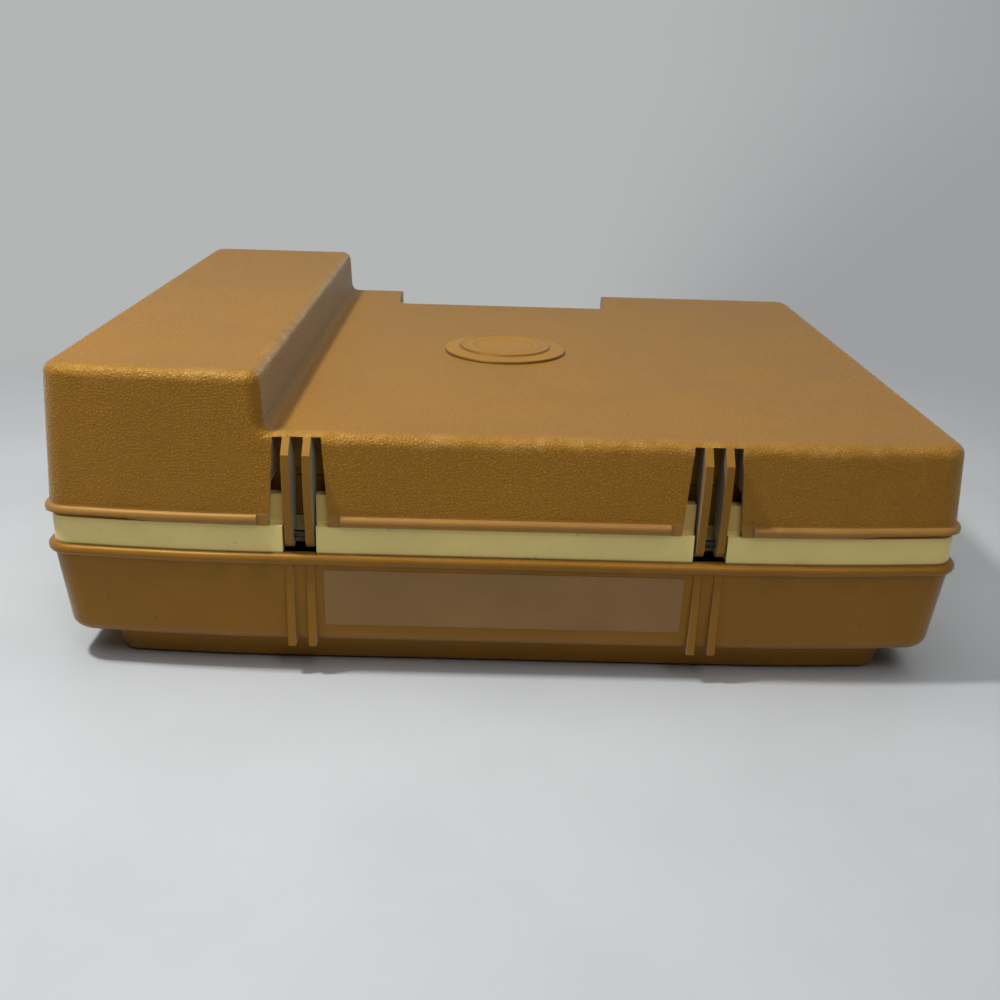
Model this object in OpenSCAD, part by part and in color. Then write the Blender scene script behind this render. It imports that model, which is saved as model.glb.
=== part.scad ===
// Portable record player for children, closed: tub, deck, hinged lid and the drive inside.
// The front faces -Y, the hinges are at +Y, and the feet stand on Z = 0.

/* [Case] */
// Width of the case across its rim beads
case_w = 355; // [345:1:370]
// Depth of the case across its rim beads
case_d = 309; // [295:1:320]
// Corner radius of the case in plan
corner_r = 9; // [7:0.5:12]
// Thickness of the moulded walls
wall = 2.5; // [2:0.1:3]
// Radius of the half-round rim beads
bead_r = 2.2; // [2:0.1:2.6]
// How far a rim bead stands out past the wall it runs on
bead_out = 1.8; // [1.4:0.1:2]

// How far the back corners lie in front of the middle of the back, which is a little bowed
back_bow = 5.5; // [0:0.5:6]

/* [Base] */
// Height of the rubber feet
foot_h = 1; // [0.8:0.1:2]
// Radius of the rubber feet
foot_r = 9; // [7:0.5:11]
// Height of the plinth under the tub
plinth_h = 12; // [11:0.5:13]
// How far the plinth's foot is set in from the tub at front and back
plinth_in = 14.5; // [13:0.5:16]
// How far the plinth's foot is set in from the tub at its ends
plinth_end_in = 20; // [18:0.5:22]
// Height of the tub from its underside to its rim
tub_h = 39; // [37:0.5:44]
// How far the tub walls lean in towards the bottom
tub_lean = 2.5; // [1:0.5:4]
// Radius of the tub's lower edges
tub_edge_r = 6; // [4:0.5:7]
// How far the standing ribs and hinge arms reach behind the beads
stand_out = 2; // [1.5:0.1:3]
// Thickness of the standing ribs
rib_t = 2.8; // [2:0.1:3.5]

/* [Deck] */
// Height of the pale band that shows between base and lid
band_h = 11; // [10.5:0.5:13]
// How far the deck surface lies below the top of the band
deck_drop = 7; // [6:0.5:7.5]
// Thickness of the deck plate
deck_t = 2.5; // [2:0.1:3]
// Height of the locating lip inside the lid
lip_h = 3.5; // [2.5:0.5:4]
// Width of one sound slot in the speaker grille
slot_w = 3; // [2:0.5:3.5]
// Spacing of the sound slots
slot_pitch = 6.5; // [6:0.5:8]

/* [Lid] */
// Height of the low part of the lid
lid_h = 36.2; // [36:0.1:42]
// How far the raised part over the tonearm stands above the low part
block_rise = 22.5; // [20:0.5:28]
// Width of the raised part at its foot
block_w = 87; // [84:1:92]
// How far the lid walls lean in over the low part's height
lid_lean = 1.5; // [1:0.1:2]
// Radius of the lid's upper edges
lid_edge_r = 4.5; // [3.5:0.25:5]
// Radius of the round moulding on top of the lid
emblem_r = 30.5; // [26:0.5:34]

/* [Handle] */
// Width of the hand opening at the front
notch_w = 116; // [108:1:120]
// Depth of the hand opening from the front beads
notch_d = 45; // [42:0.5:46]
// Thickness of the handle bar, front to back
grip_d = 18; // [15:0.5:20]
// Height of the handle bar
grip_h = 20; // [16:0.5:22]

/* [Hinges] */
// Distance of each hinge from the middle of the case
hinge_x = 78.3; // [70:0.5:82]
// Distance between the two arms of a hinge
arm_pitch = 7.8; // [7.5:0.1:8.2]
// Thickness of a hinge arm
arm_t = 3; // [2.6:0.1:3.2]
// Radius of the hinge pins
pin_r = 1.5; // [1.25:0.05:1.8]
// Radius of the round end of a hinge arm
knuckle_r = 5; // [4.5:0.1:5.2]

/* [Turntable] */
// Radius of the turntable platter
platter_r = 101.6; // [96:0.1:102]
// Height of the platter
platter_h = 9; // [9:0.25:10]
// Thickness of the platter mat
mat_t = 2; // [1.5:0.1:2.5]
// Radius of the record spindle
spindle_r = 3.6; // [3.5:0.05:3.65]
// How far the spindle stands above the mat
spindle_up = 10; // [8:0.5:12]
// Radius of the wide-hole record adapter
adapter_r = 19; // [18.5:0.1:19.1]
// Radius of the idler wheel over its tyre
idler_r = 18; // [16:0.5:19]
// Radius of the motor capstan at its slow step
capstan_r = 1.98; // [1.8:0.02:2.2]

/* [Tonearm] */
// Length of the tonearm from pivot to stylus
arm_len = 198; // [192:1:204]
// Width of the tonearm wand
wand_w = 13; // [11:0.5:15]
// Height of the tonearm wand
wand_h = 7; // [6:0.5:7.5]
// Radius of the tonearm turret
turret_r = 17; // [15:0.5:18]

/* [Controls] */
// Radius of the control knobs
knob_r = 13; // [11:0.5:14]
// Height of the control knobs
knob_h = 11; // [9:0.5:12]

/* [Hidden] */

tan = "#a9732f";
tan_dark = "#8a5a22";
cream = "#e2d491";
brown = "#4a2c17";
rubber_black = "#1c1a18";
steel = "#b9bcc0";
brass = "#c9a24a";
copper = "#a8562a";
board_green = "#4c6b3a";

small = 0.01;
cut = 1;
round_fn = 32;
run_gap = 0.05;
free_gap = 0.3;

// Plan half sizes: bead, walls of lid and tub, pale band
hw = case_w / 2;
hd = case_d / 2;
wall_hw = hw - bead_out;
wall_hd = hd - bead_out;
band_step = 0.6;
band_hw = wall_hw - band_step;
band_hd = wall_hd - band_step;

// Heights from the floor up
z_plinth = foot_h;
z_tub = z_plinth + plinth_h;
z_rim = z_tub + tub_h;
z_band = z_rim + band_h;
z_deck = z_band - deck_drop;
z_under = z_deck - deck_t;
z_lid = z_band + free_gap;
z_low = z_lid + lid_h;
z_high = z_low + block_rise;
z_floor = z_plinth + wall;

// Inner faces of lid and deck lip
lid_in_hw = wall_hw - wall;
lid_in_hd = wall_hd - wall;
lip_t = 2;
lip_hw = lid_in_hw - lid_lean * lip_h / lid_h - free_gap;
lip_hd = lid_in_hd - lid_lean * lip_h / lid_h - free_gap;

// Hand opening
notch_y = -hd + notch_d;
grip_y = -hd - stand_out + grip_d / 2;
tenon_r = 4;
notch_lean = 3;
notch_r = 6;

// Hinge line
bow_start = hinge_x + 14;
bow_steps = [0, 16, 34, 55];
bow_stops = concat([for (i = [3 : -1 : 0]) -bow_start - bow_steps[i]], [for (d = bow_steps) bow_start + d]);
pin_in = 6.5;
y_pin = hd - pin_in;
pin_rise = 6.5;
z_pin = z_rim + pin_rise;
hinge_slot_w = arm_pitch + arm_t + 2;
hinge_block_w = 29;
hinge_block_d = 13;
pocket_in = 14;
pocket_side = 2;
pocket_rise = 17;
window_top_w = 18;
window_foot_w = 23;
window_drop = 1.5;
rib_back = 1.5;
rib_pitch = 8;
rib_in = 2;
ear_h = 12;
ear_w = 5;
ear_d = 4.4;
bead_stop = 15.8;
back_lift = 1.6;

// Raised part of the lid
block_x = wall_hw - block_w;
block_lean = 3;
block_corner_r = 5;
block_fillet = 9;
fillet_sink = 0.05;
fillet_back = 7;

// Turntable
spindle_x = -42;
spindle_y = 4;
well_depth = 1;
well_gap = 4;
z_well = z_deck - well_depth;
platter_gap = 1;
z_platter = z_well + platter_gap;
z_mat = z_platter + platter_h;
z_record = z_mat + mat_t;
platter_t = 3;
platter_wall = 3.5;
rim_in_r = platter_r - platter_wall;
hub_r = 11;
mat_margin = 3.5;
adapter_well_r = adapter_r + free_gap;
adapter_h = 3.4;
adapter_rise = 5;
journal_r = spindle_r + 0.9;
shoulder_drop = 0.6;
spindle_boss_r = 14;
spindle_boss_h = 16;
washer_t = 0.8;

// Drive: idler inside the platter rim, capstan against the idler
drive_gap = 0.3;
idler_angle = 205;
idler_reach = rim_in_r - idler_r - drive_gap;
idler_t = 3.5;
z_idler = z_platter + 1;
lever_t = 1.2;
z_lever = z_idler - 1.8;
idler_x = spindle_x + idler_reach * cos(idler_angle);
idler_y = spindle_y + idler_reach * sin(idler_angle);
idler_arm_len = 34;
idler_post_angle = idler_angle + 180;
post_x = idler_x + idler_arm_len * cos(idler_post_angle);
post_y = idler_y + idler_arm_len * sin(idler_post_angle);
idler_shaft_r = 2;
idler_axle_r = 1.2;
capstan_angle = idler_angle + 180 + 55;
capstan_x = idler_x + (idler_r + capstan_r + drive_gap) * cos(capstan_angle);
capstan_y = idler_y + (idler_r + capstan_r + drive_gap) * sin(capstan_angle);
fast_ratio = 1.35;
motor_shaft_r = 1.2;
rotor_r = 11;
rotor_gap = 0.5;
stack_w = 40;
stack_d = 52;
stack_h = 18;
z_stack = z_under - 28;
motor_plate_t = 1.5;
motor_plate_drop = 5;
motor_hole_x = 13;
motor_hole_y = 30;
motor_screw_r = 1.5;
drive_window_r = 10;
leg_in = 8;
leg_w = 8;

// Tonearm
pivot_x = hw - 49.5;
pivot_y = hd - 52.5;
post_r = 20;
post_h = 8;
turret_h = 18;
z_turret = z_deck + post_h + free_gap;
record_clear = 2.8;
wand_back = 30;
head_l = 28;
head_w = 22;
stylus_drop = 5.5;
stylus_h = 1.5;
z_wand = z_record + record_clear + stylus_drop;
rest_gap = 20;
rest_y = pivot_y - arm_len + head_l / 2 + rest_gap;

// Controls
volume_x = hw - 83.5;
volume_y = -hd + 30;
speed_x = -hw + 65.5;
speed_y = -hd + 30;
knob_shaft_r = 3;
cam_r = 6;
cam_off = 3;
lever_dx = speed_x + cam_r + cam_off + 4 - post_x;
lever_dy = speed_y - post_y;
lever_len = sqrt(pow(lever_dx, 2) + pow(lever_dy, 2));
control_r = 9;
control_h = 10;

// Speaker
speaker_x = hw - 57.5;
speaker_y = -4;
speaker_r = 44;
speaker_open_r = 38;
cone_r = 37;
cone_neck_r = 12;
cone_h = 16;
basket_h = 20;
magnet_r = 22;
magnet_h = 11;

// Screw bosses: corner screws and two beside the hand opening
boss_r = 5;
boss_h = 8;
screw_r = 1.6;
boss_points = concat(
    [for (sx = [-1, 1], sy = [-1, 1]) [sx * (hw - 30), sy * (hd - 30)]],
    [for (sx = [-1, 1]) [sx * (notch_w / 2 + 14), notch_y + 8]]);
foot_in = 38;
foot_points = [for (sx = [-1, 1], sy = [-1, 1]) [sx * (hw - foot_in - 10), sy * (hd - foot_in)]];
head_r = 3.2;
head_h = 2.2;

// Circuit board, on the floor of the tub
board_x = 20;
board_y = hd - 70.5;
board_w = 90;
board_d = 52;
board_t = 1.6;
standoff_h = 6;
standoff_r = 3;
z_board = z_floor + standoff_h;

// Cord outlet in the underside
outlet_x = -hw + 59.5;
outlet_y = hd - foot_in - 18.5;
outlet_r = 6;
bush_lip = 0.7;
cord_hole_r = 3;

// How far the back lies in at x: flat between the hinges, then a parabola out to the corners
function back_in(x) = back_bow * pow(max(0, abs(x) - bow_start) / (hw - bow_start), 2);

// Places along the back, between two corners, where an outline turns with the bow
function bow_points(x0, x1) = [for (x = bow_stops) if (x > x0 && x < x1) x];

function corners(x0, x1, y0, y1, r0, r1) = concat(
    [[x0 + r0, y0 + r0, r0], [x1 - r1, y0 + r1, r1], [x1 - r1, y1 - r1 - back_in(x1 - r1), r1],
        [x0 + r0, y1 - r0 - back_in(x0 + r0), r0]],
    [for (x = bow_points(x0 + r0, x1 - r1)) [x, y1 - r1 - back_in(x), r1]]);

// A rounded rectangle in plan, with true arcs at its corners and a bowed back where it is as wide as the case
module plate(x0, x1, y0, y1, r) {
    y_side = y1 - max(back_in(x0 + r), back_in(x1 - r));
    bow = bow_points(x0 + r, x1 - r);
    translate([x0 + r, y0]) square([x1 - x0 - 2 * r, y_side - y0]);
    translate([x0, y0 + r]) square([x1 - x0, y_side - y0 - 2 * r]);
    for (x = [x0 + r, x1 - r], y = [y0 + r, y_side - r]) translate([x, y]) circle(r, $fn = 64);
    if (len(bow) > 0) polygon(concat([[x1 - r, y_side], [x1 - r, y0 + r], [x0 + r, y0 + r], [x0 + r, y_side]],
        [for (x = bow) [x, y1 - back_in(x)]]));
}

// A shell form that tapers from its foot to its top and has rounded upper edges
module loft(foot, top, z0, z1, edge) hull() {
    for (c = foot) translate([c.x, c.y, z0]) cylinder(r = c.z, h = small, $fn = round_fn);
    for (c = top) translate([c.x, c.y, z1 - edge])
        rotate_extrude($fn = round_fn) intersection() {
            translate([c.z - edge, 0]) circle(edge, $fn = round_fn);
            translate([0, -edge]) square([c.z + edge, 2 * edge]);
        }
}

// The same form upside down, with rounded lower edges
module loft_down(foot, top, z0, z1, edge)
    translate([0, 0, z0 + z1]) mirror([0, 0, 1]) loft(top, foot, z0, z1, edge);

// A slab whose rim is a half-round bead
module bead_slab(z) hull()
    for (c = corners(-hw, hw, -hd, hd, corner_r + bead_out, corner_r + bead_out))
        translate([c.x, c.y, z]) rotate_extrude($fn = round_fn)
            translate([c.z - bead_r, 0]) circle(bead_r, $fn = 16);

// The hand opening as a solid to cut, grown by a wall where it is kept
module hand_opening(grow, z0, z1, flare) {
    half = notch_w / 2 + grow;
    hull() {
        for (s = [-1, 1]) {
            translate([s * (half - notch_r), notch_y + grow - notch_r, z0])
                cylinder(r = notch_r, h = small, $fn = round_fn);
            translate([s * (half + flare - notch_r), notch_y + grow + flare / 2 - notch_r, z1])
                cylinder(r = notch_r, h = small, $fn = round_fn);
            translate([s * (half + 2), -hd - 20, z0]) cylinder(r = small, h = z1 - z0, $fn = 8);
        }
    }
}

// The gap behind the handle in tub and deck, where only fingers pass
module finger_gap(grow, z0, z1) translate([0, 0, z0]) linear_extrude(z1 - z0)
    plate(-notch_w / 2 - grow, notch_w / 2 + grow, -hd - 20, notch_y + grow, notch_r);

module at_hinges() for (s = [-1, 1]) translate([s * hinge_x, 0, 0]) children();

module ring(r_out, r_in, h) difference() {
    cylinder(r = r_out, h = h, $fn = 96);
    translate([0, 0, -cut]) cylinder(r = r_in, h = h + 2 * cut, $fn = 96);
}

// Lower case: tapered tub with plinth, rim bead, standing ribs, screw bosses and vents
module base_tub() color(tan) {
    foot_hw = wall_hw - tub_lean;
    foot_hd = wall_hd - tub_lean;
    foot_corner_r = 2 * tub_edge_r + 0.2;
    plinth_hw = wall_hw - plinth_end_in;
    plinth_hd = wall_hd - plinth_in;
    plinth_edge_r = 1.2;
    difference() {
        union() {
            difference() {
                union() {
                    loft_down(corners(-foot_hw, foot_hw, -foot_hd, foot_hd, foot_corner_r, foot_corner_r),
                        corners(-wall_hw, wall_hw, -wall_hd, wall_hd, corner_r, corner_r),
                        z_tub, z_rim, tub_edge_r);
                    loft_down(corners(-plinth_hw, plinth_hw, -plinth_hd, plinth_hd, corner_r, corner_r),
                        corners(-plinth_hw - 4, plinth_hw + 4, -plinth_hd - 1.5, plinth_hd + 1.5,
                            corner_r, corner_r),
                        z_plinth, z_tub + tub_edge_r, plinth_edge_r);
                    bead_slab(z_rim - bead_r);
                    standing_ribs();
                }
                difference() {
                    union() {
                        loft_down(corners(-foot_hw + wall, foot_hw - wall, -foot_hd + wall, foot_hd - wall,
                                foot_corner_r - wall, foot_corner_r - wall),
                            corners(-wall_hw + wall, wall_hw - wall, -wall_hd + wall, wall_hd - wall,
                                corner_r - wall, corner_r - wall),
                            z_tub + wall, z_rim + cut, tub_edge_r - wall);
                        translate([0, 0, z_floor]) linear_extrude(z_tub + 2 * wall - z_floor)
                            plate(-plinth_hw + wall, plinth_hw - wall, -plinth_hd + wall, plinth_hd - wall,
                                corner_r - wall);
                    }
                    finger_gap(wall, 0, z_rim + 2 * cut);
                }
                finger_gap(0, -cut, z_rim + 2 * cut);
            }
            for (p = boss_points) translate([p.x, p.y, z_floor - cut])
                cylinder(r = boss_r, h = z_under - 8 - z_floor - free_gap + cut, $fn = 48);
            for (sx = [-1, 1], sy = [-1, 1])
                translate([board_x + sx * (board_w / 2 - 5), board_y + sy * (board_d / 2 - 5),
                    z_floor - cut])
                    cylinder(r = standoff_r, h = standoff_h + cut, $fn = 32);
        }
        for (p = boss_points) translate([p.x, p.y, 0]) {
            cylinder(r = screw_r + 0.2, h = z_rim, $fn = 32);
            cylinder(r = head_r + 0.4, h = z_plinth + head_h, $fn = 32);
        }
        vents();
        handle_seats();
        translate([outlet_x, outlet_y, 0]) cylinder(r = outlet_r, h = z_tub + 2 * wall, $fn = 48);
    }
}

// Fins behind the tub: with the hinge arms they let the closed case stand on its back
module standing_ribs() at_hinges() for (s = [-1, 1])
    translate([s * rib_pitch / 2 - rib_t / 2, hd - rib_back, 0]) rotate([90, 0, 90]) linear_extrude(rib_t)
        polygon([[0, z_rim - bead_r], [0, z_tub + 0.6], [-0.8, z_tub - 0.4],
            [-pin_in - 2, z_tub - 0.4], [-pin_in - 2, z_tub + 2], [-rib_in, z_rim - bead_r]]);

// Cooling slots in the floor below the motor
module vents() for (i = [-3 : 3])
    translate([capstan_x + i * 8 - 1.5, capstan_y - 22, 0]) cube([3, 44, z_floor + cut]);

// Four rubber feet pushed up against the plinth, with a slight taper
module rubber_feet() color(rubber_black) for (p = foot_points) translate([p.x, p.y, 0])
    rotate_extrude($fn = 64) polygon([[0, 0], [foot_r - 1.5, 0], [foot_r, foot_h], [0, foot_h]]);

// Screws that go up through the tub into the deck's pillars
module case_screws() color(steel) for (p = boss_points) translate([p.x, p.y, z_plinth]) {
    difference() {
        cylinder(r = head_r, h = head_h, $fn = 32);
        for (a = [0, 90]) rotate(a) translate([-2, -0.4, -cut]) cube([4, 0.8, cut + 0.8]);
    }
    cylinder(r = screw_r, h = z_under - 3 - z_plinth, $fn = 24);
}

// Grommet where the mains lead comes out
module cord_bush() color(rubber_black) translate([outlet_x, outlet_y, z_plinth - bush_lip])
    difference() {
        union() {
            cylinder(r = outlet_r + 2, h = bush_lip, $fn = 48);
            cylinder(r = outlet_r, h = bush_lip + wall, $fn = 48);
            translate([0, 0, bush_lip + wall]) cylinder(r1 = outlet_r + 1.5, r2 = outlet_r, h = 2, $fn = 48);
        }
        translate([0, 0, -cut]) cylinder(r = cord_hole_r, h = 10, $fn = 32);
    }

// Pale deck: the band that shows all round, the locating lip, hinge blocks and every fixing for the works
module deck() color(cream) difference() {
    union() {
        difference() {
            translate([0, 0, z_rim]) linear_extrude(band_h)
                plate(-band_hw, band_hw, -band_hd, band_hd, corner_r);
            translate([0, 0, z_deck]) linear_extrude(band_h)
                lip_inside();
            difference() {
                translate([0, 0, z_rim - cut]) linear_extrude(z_under - z_rim + cut)
                    plate(-band_hw + wall, band_hw - wall, -band_hd + wall, band_hd - wall, corner_r - wall);
                finger_gap(wall, z_rim - 2 * cut, z_band);
                at_hinges() translate([-hinge_block_w / 2, band_hd - hinge_block_d, z_rim - 2 * cut])
                    cube([hinge_block_w, hinge_block_d, band_h]);
            }
        }
        difference() {
            translate([0, 0, z_deck]) linear_extrude(z_band + lip_h - z_deck)
                plate(-lip_hw, lip_hw, -lip_hd, lip_hd, corner_r - wall);
            translate([0, 0, z_deck - cut]) linear_extrude(band_h + lip_h)
                lip_inside();
            at_hinges() translate([-hinge_block_w / 2, lip_hd - lip_t - cut, z_band])
                cube([hinge_block_w, lip_t + 2 * cut, lip_h + cut]);
            finger_gap(wall + notch_lean, z_band, z_band + lip_h + cut);
        }
        notch_wall();
        at_hinges() translate([-hinge_block_w / 2, band_hd - hinge_block_d, z_rim])
            cube([hinge_block_w, hinge_block_d, band_h]);
        at_hinges() for (s = [-1, 1])
            translate([s * (hinge_slot_w / 2 + ear_w / 2) - ear_w / 2, lip_hd - ear_d, z_deck])
                cube([ear_w, ear_d, z_band + ear_h - z_deck]);
        translate([spindle_x, spindle_y, z_under - spindle_boss_h + deck_t])
            cylinder(r = spindle_boss_r, h = spindle_boss_h - well_depth, $fn = 64);
        for (p = boss_points) translate([p.x, p.y, z_under - boss_h])
            cylinder(r = boss_r, h = boss_h + small, $fn = 48);
    }
    finger_gap(0, z_rim - cut, z_band + lip_h + cut);
    translate([spindle_x, spindle_y, z_well])
        cylinder(r = platter_r + well_gap, h = deck_drop + 4, $fn = 128);
    translate([spindle_x, spindle_y, 0]) cylinder(r = journal_r + run_gap, h = z_band, $fn = 64);
    deck_hole(capstan_x, capstan_y, drive_window_r);
    deck_hole(post_x, post_y, idler_shaft_r + run_gap);
    motor_at() deck_hole(0, 0, motor_screw_r + 0.2);
    for (p = boss_points) translate([p.x, p.y, z_under - boss_h - cut])
        cylinder(r = screw_r + run_gap, h = boss_h, $fn = 24);
    for (c = [[volume_x, volume_y], [speed_x, speed_y]]) deck_hole(c.x, c.y, knob_shaft_r + run_gap);
    deck_hole(pivot_x, pivot_y, 5 + run_gap);
    speaker_slots();
    hinge_slots();
    handle_seats();
}

// Round hole through the deck's plate
module deck_hole(x, y, r) translate([x, y, z_under - cut]) cylinder(r = r, h = deck_t + 2 * cut, $fn = 64);

// Outline inside the lip that the lid fits over
module lip_inside()
    plate(-lip_hw + lip_t, lip_hw - lip_t, -lip_hd + lip_t, lip_hd - lip_t, corner_r - wall - lip_t);

// Wall round the hand opening, up to the top of the band
module notch_wall() intersection() {
    finger_gap(wall, z_rim, z_band);
    translate([0, 0, z_rim]) linear_extrude(band_h) plate(-band_hw, band_hw, -band_hd, band_hd, corner_r);
}

// Bore for the round ends of the handle, half in the tub and half in the deck
module handle_seats() translate([-notch_w / 2 - wall - cut, grip_y, z_rim]) rotate([0, 90, 0])
    cylinder(r = tenon_r + run_gap, h = notch_w + 2 * wall + 2 * cut, $fn = 48);

module hinge_slots() at_hinges() {
    translate([-hinge_slot_w / 2, y_pin - knuckle_r - 2.5, z_rim - cut])
        cube([hinge_slot_w, pin_in + knuckle_r + 4, z_band + ear_h]);
    translate([-hinge_block_w, y_pin, z_pin]) rotate([0, 90, 0])
        cylinder(r = pin_r + run_gap, h = 2 * hinge_block_w, $fn = 32);
}

// Parallel sound slots, trimmed to a circle
module speaker_slots() translate([speaker_x, speaker_y, 0]) {
    count = floor((speaker_open_r - slot_w) / slot_pitch);
    for (i = [-count : count]) {
        half = sqrt(pow(speaker_open_r - 2, 2) - pow(i * slot_pitch, 2)) - 2;
        translate([i * slot_pitch - slot_w / 2, -half, z_under - cut])
            cube([slot_w, 2 * half, deck_t + 2 * cut]);
    }
}

// Bar across the hand opening: its round ends are held between tub and deck
module carry_handle() color(tan_dark) {
    half = notch_w / 2 - free_gap;
    difference() {
        hull() for (s = [-1, 1], e = [-1, 1], f = [-1, 1])
            translate([s * half, grip_y + e * (grip_d / 2 - 6), z_rim + f * (grip_h / 2 - 6)])
                rotate([0, 90, 0]) cylinder(r = 6, h = small, $fn = round_fn, center = true);
        for (i = [-3 : 3]) translate([i * 12 - 1.5, grip_y + grip_d / 2 - 0.8, z_rim - grip_h])
            cube([3, 4, 2 * grip_h]);
    }
    translate([-half - wall, grip_y, z_rim]) rotate([0, 90, 0])
        cylinder(r = tenon_r, h = 2 * half + 2 * wall, $fn = 48);
}

// Steel pins the hinge arms turn on
module hinge_pins() color(steel) at_hinges()
    translate([-hinge_block_w / 2 + 1, y_pin, z_pin]) rotate([0, 90, 0])
        cylinder(r = pin_r, h = hinge_block_w - 2, $fn = 32);

// Lid: low part over the turntable, raised part over the tonearm, hand opening and hinge windows
module lid_shell() color(tan) difference() {
    union() {
        lid_form(0);
        difference() {
            bead_slab(z_lid + bead_r);
            at_hinges() translate([-bead_stop, wall_hd, z_lid - cut]) cube([2 * bead_stop, 10, 4 * bead_r]);
        }
        block_fillet_run();
    }
    difference() {
        lid_form(wall);
        hand_opening(wall, z_lid - 2 * cut, z_high + cut, notch_lean);
        at_hinges() translate([-window_foot_w / 2 - pocket_side, hd - pocket_in - pocket_side,
                z_band + pocket_rise])
            cube([window_foot_w + 2 * pocket_side, pocket_in, lid_h]);
    }
    hand_opening(0, z_lid - 2 * cut, z_high + cut, notch_lean);
    at_hinges() hinge_window();
    translate([-band_hw - free_gap, y_pin - knuckle_r, z_lid - cut])
        cube([2 * band_hw + 2 * free_gap, band_hd + free_gap - y_pin + knuckle_r, cut + back_lift]);
}

// Outer form of the lid, or its inside when taken in by a wall
module lid_form(t) {
    lean = lid_lean;
    high_lean = lid_lean * (lid_h + block_rise) / lid_h;
    z0 = t > 0 ? z_lid - cut : z_lid;
    edge = max(lid_edge_r - t, 1.5);
    r = corner_r - t;
    r_in = max(block_corner_r - t, edge + 0.1);
    loft(corners(-wall_hw + t, wall_hw - t, -wall_hd + t, wall_hd - t, r, r),
        corners(-wall_hw + lean + t, wall_hw - lean - t,
            -wall_hd + lean / 2 + t, wall_hd - lean / 2 - t, r, r),
        z0, z_low - t, edge);
    loft(corners(block_x + t, wall_hw - t, -wall_hd + t, wall_hd - t, r_in, r),
        corners(block_x + block_lean + t, wall_hw - high_lean - t, -wall_hd + high_lean / 2 + t,
            wall_hd - high_lean / 2 - t, r_in, r),
        z0, z_high - t, edge);
}

// Hollow fillet from the low top up to the raised part, carried round the rounded edges at both ends
module block_fillet_run() {
    side_slope = block_lean / (lid_h + block_rise);
    end_slope = lid_lean / 2 / lid_h;
    foot_x = block_x + side_slope * lid_h + fillet_sink;
    foot_z = z_low - fillet_sink;
    flat_y = wall_hd - lid_lean / 2 - lid_edge_r - fillet_sink;
    rows = concat([for (a = [90 : -15 : 0]) [-1, a]], [for (a = [0 : 15 : 90]) [1, a]]);
    arc = [for (a = [-90 : 10 : 0]) a];
    ring = len(arc) + 3;
    points = [for (row = rows) let (
            inset = lid_edge_r * (1 - cos(row[1])),
            y = flat_y + lid_edge_r * sin(row[1]),
            outline = concat([for (a = arc) [(block_fillet + inset) * cos(a) - block_fillet,
                    (block_fillet + inset) * sin(a) + block_fillet]],
                [[fillet_back, block_fillet], [fillet_back, -fillet_back], [-block_fillet, -fillet_back]]))
        for (p = outline)
            [foot_x + p[0] + side_slope * p[1], row[0] * (y - end_slope * p[1]), foot_z + p[1]]];
    sides = [for (i = [0 : len(rows) - 2]) for (j = [0 : ring - 1]) let (k = (j + 1) % ring)
        each [[i * ring + j, (i + 1) * ring + k, i * ring + k],
            [i * ring + j, (i + 1) * ring + j, (i + 1) * ring + k]]];
    polyhedron(points, concat(sides, [[for (j = [0 : ring - 1]) j],
        [for (j = [ring - 1 : -1 : 0]) (len(rows) - 1) * ring + j]]), convexity = 4);
}

// Trapezoid window in the lid's back wall where a pair of hinge arms shows
module hinge_window() translate([0, hd + cut, 0]) rotate([90, 0, 0]) linear_extrude(pocket_in + cut)
    polygon([[-window_foot_w / 2, z_lid - cut], [window_foot_w / 2, z_lid - cut],
        [window_top_w / 2, z_low - window_drop], [-window_top_w / 2, z_low - window_drop]]);

// Round moulding on the lid: a dished disc with raised rings, left plain
module lid_emblem() color(tan) translate([0, 5, z_low]) {
    rise = 1.4;
    rotate_extrude($fn = 128) difference() {
        union() {
            square([emblem_r - rise, rise]);
            intersection() {
                translate([emblem_r - rise, 0]) circle(rise, $fn = 32);
                square([emblem_r, rise]);
            }
            square([emblem_r * 0.72, rise * 1.9]);
        }
        for (i = [0.42 : 0.1 : 0.63]) translate([emblem_r * i, rise * 1.9]) circle(0.9, $fn = 24);
        translate([0, rise * 1.2]) square([emblem_r * 0.3, rise]);
    }
    translate([0, 0, rise]) rotate_extrude($fn = 96) intersection() {
        translate([0, -22]) circle(22 + rise, $fn = 128);
        square([emblem_r * 0.3 - 1, rise]);
    }
}

// Outline of one hinge arm from the side: round end on the pin, bulged back edge, chamfered top
module arm_outline() {
    top = z_low - window_drop - z_pin;
    out = stand_out + pin_in;
    difference() {
        union() {
            circle(knuckle_r, $fn = 64);
            polygon(concat([[-knuckle_r, 0]],
                [for (t = [0 : 0.125 : 1]) [knuckle_r + (out - knuckle_r) * sin(90 * t), (top - 10) * t]],
                [[out, top - 5.5], [out - 5, top],
                    [-pocket_in + pin_in, top], [-pocket_in + pin_in, top - 16]]));
        }
        circle(pin_r + run_gap, $fn = 32);
    }
}

// A pair of hinge arms with the web that fixes them in the lid's pocket
module hinge_arms(side) color(tan) translate([side * hinge_x, y_pin, z_pin]) {
    for (s = [-1, 1]) translate([s * arm_pitch / 2 - arm_t / 2, 0, 0]) rotate([90, 0, 90])
        linear_extrude(arm_t) arm_outline();
    top = z_low - window_drop - z_pin;
    translate([-arm_pitch / 2, -pocket_in + pin_in, top - 14]) cube([arm_pitch, 2.5, 14]);
}
module hinge_arms_left() hinge_arms(-1);
module hinge_arms_right() hinge_arms(1);

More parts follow.
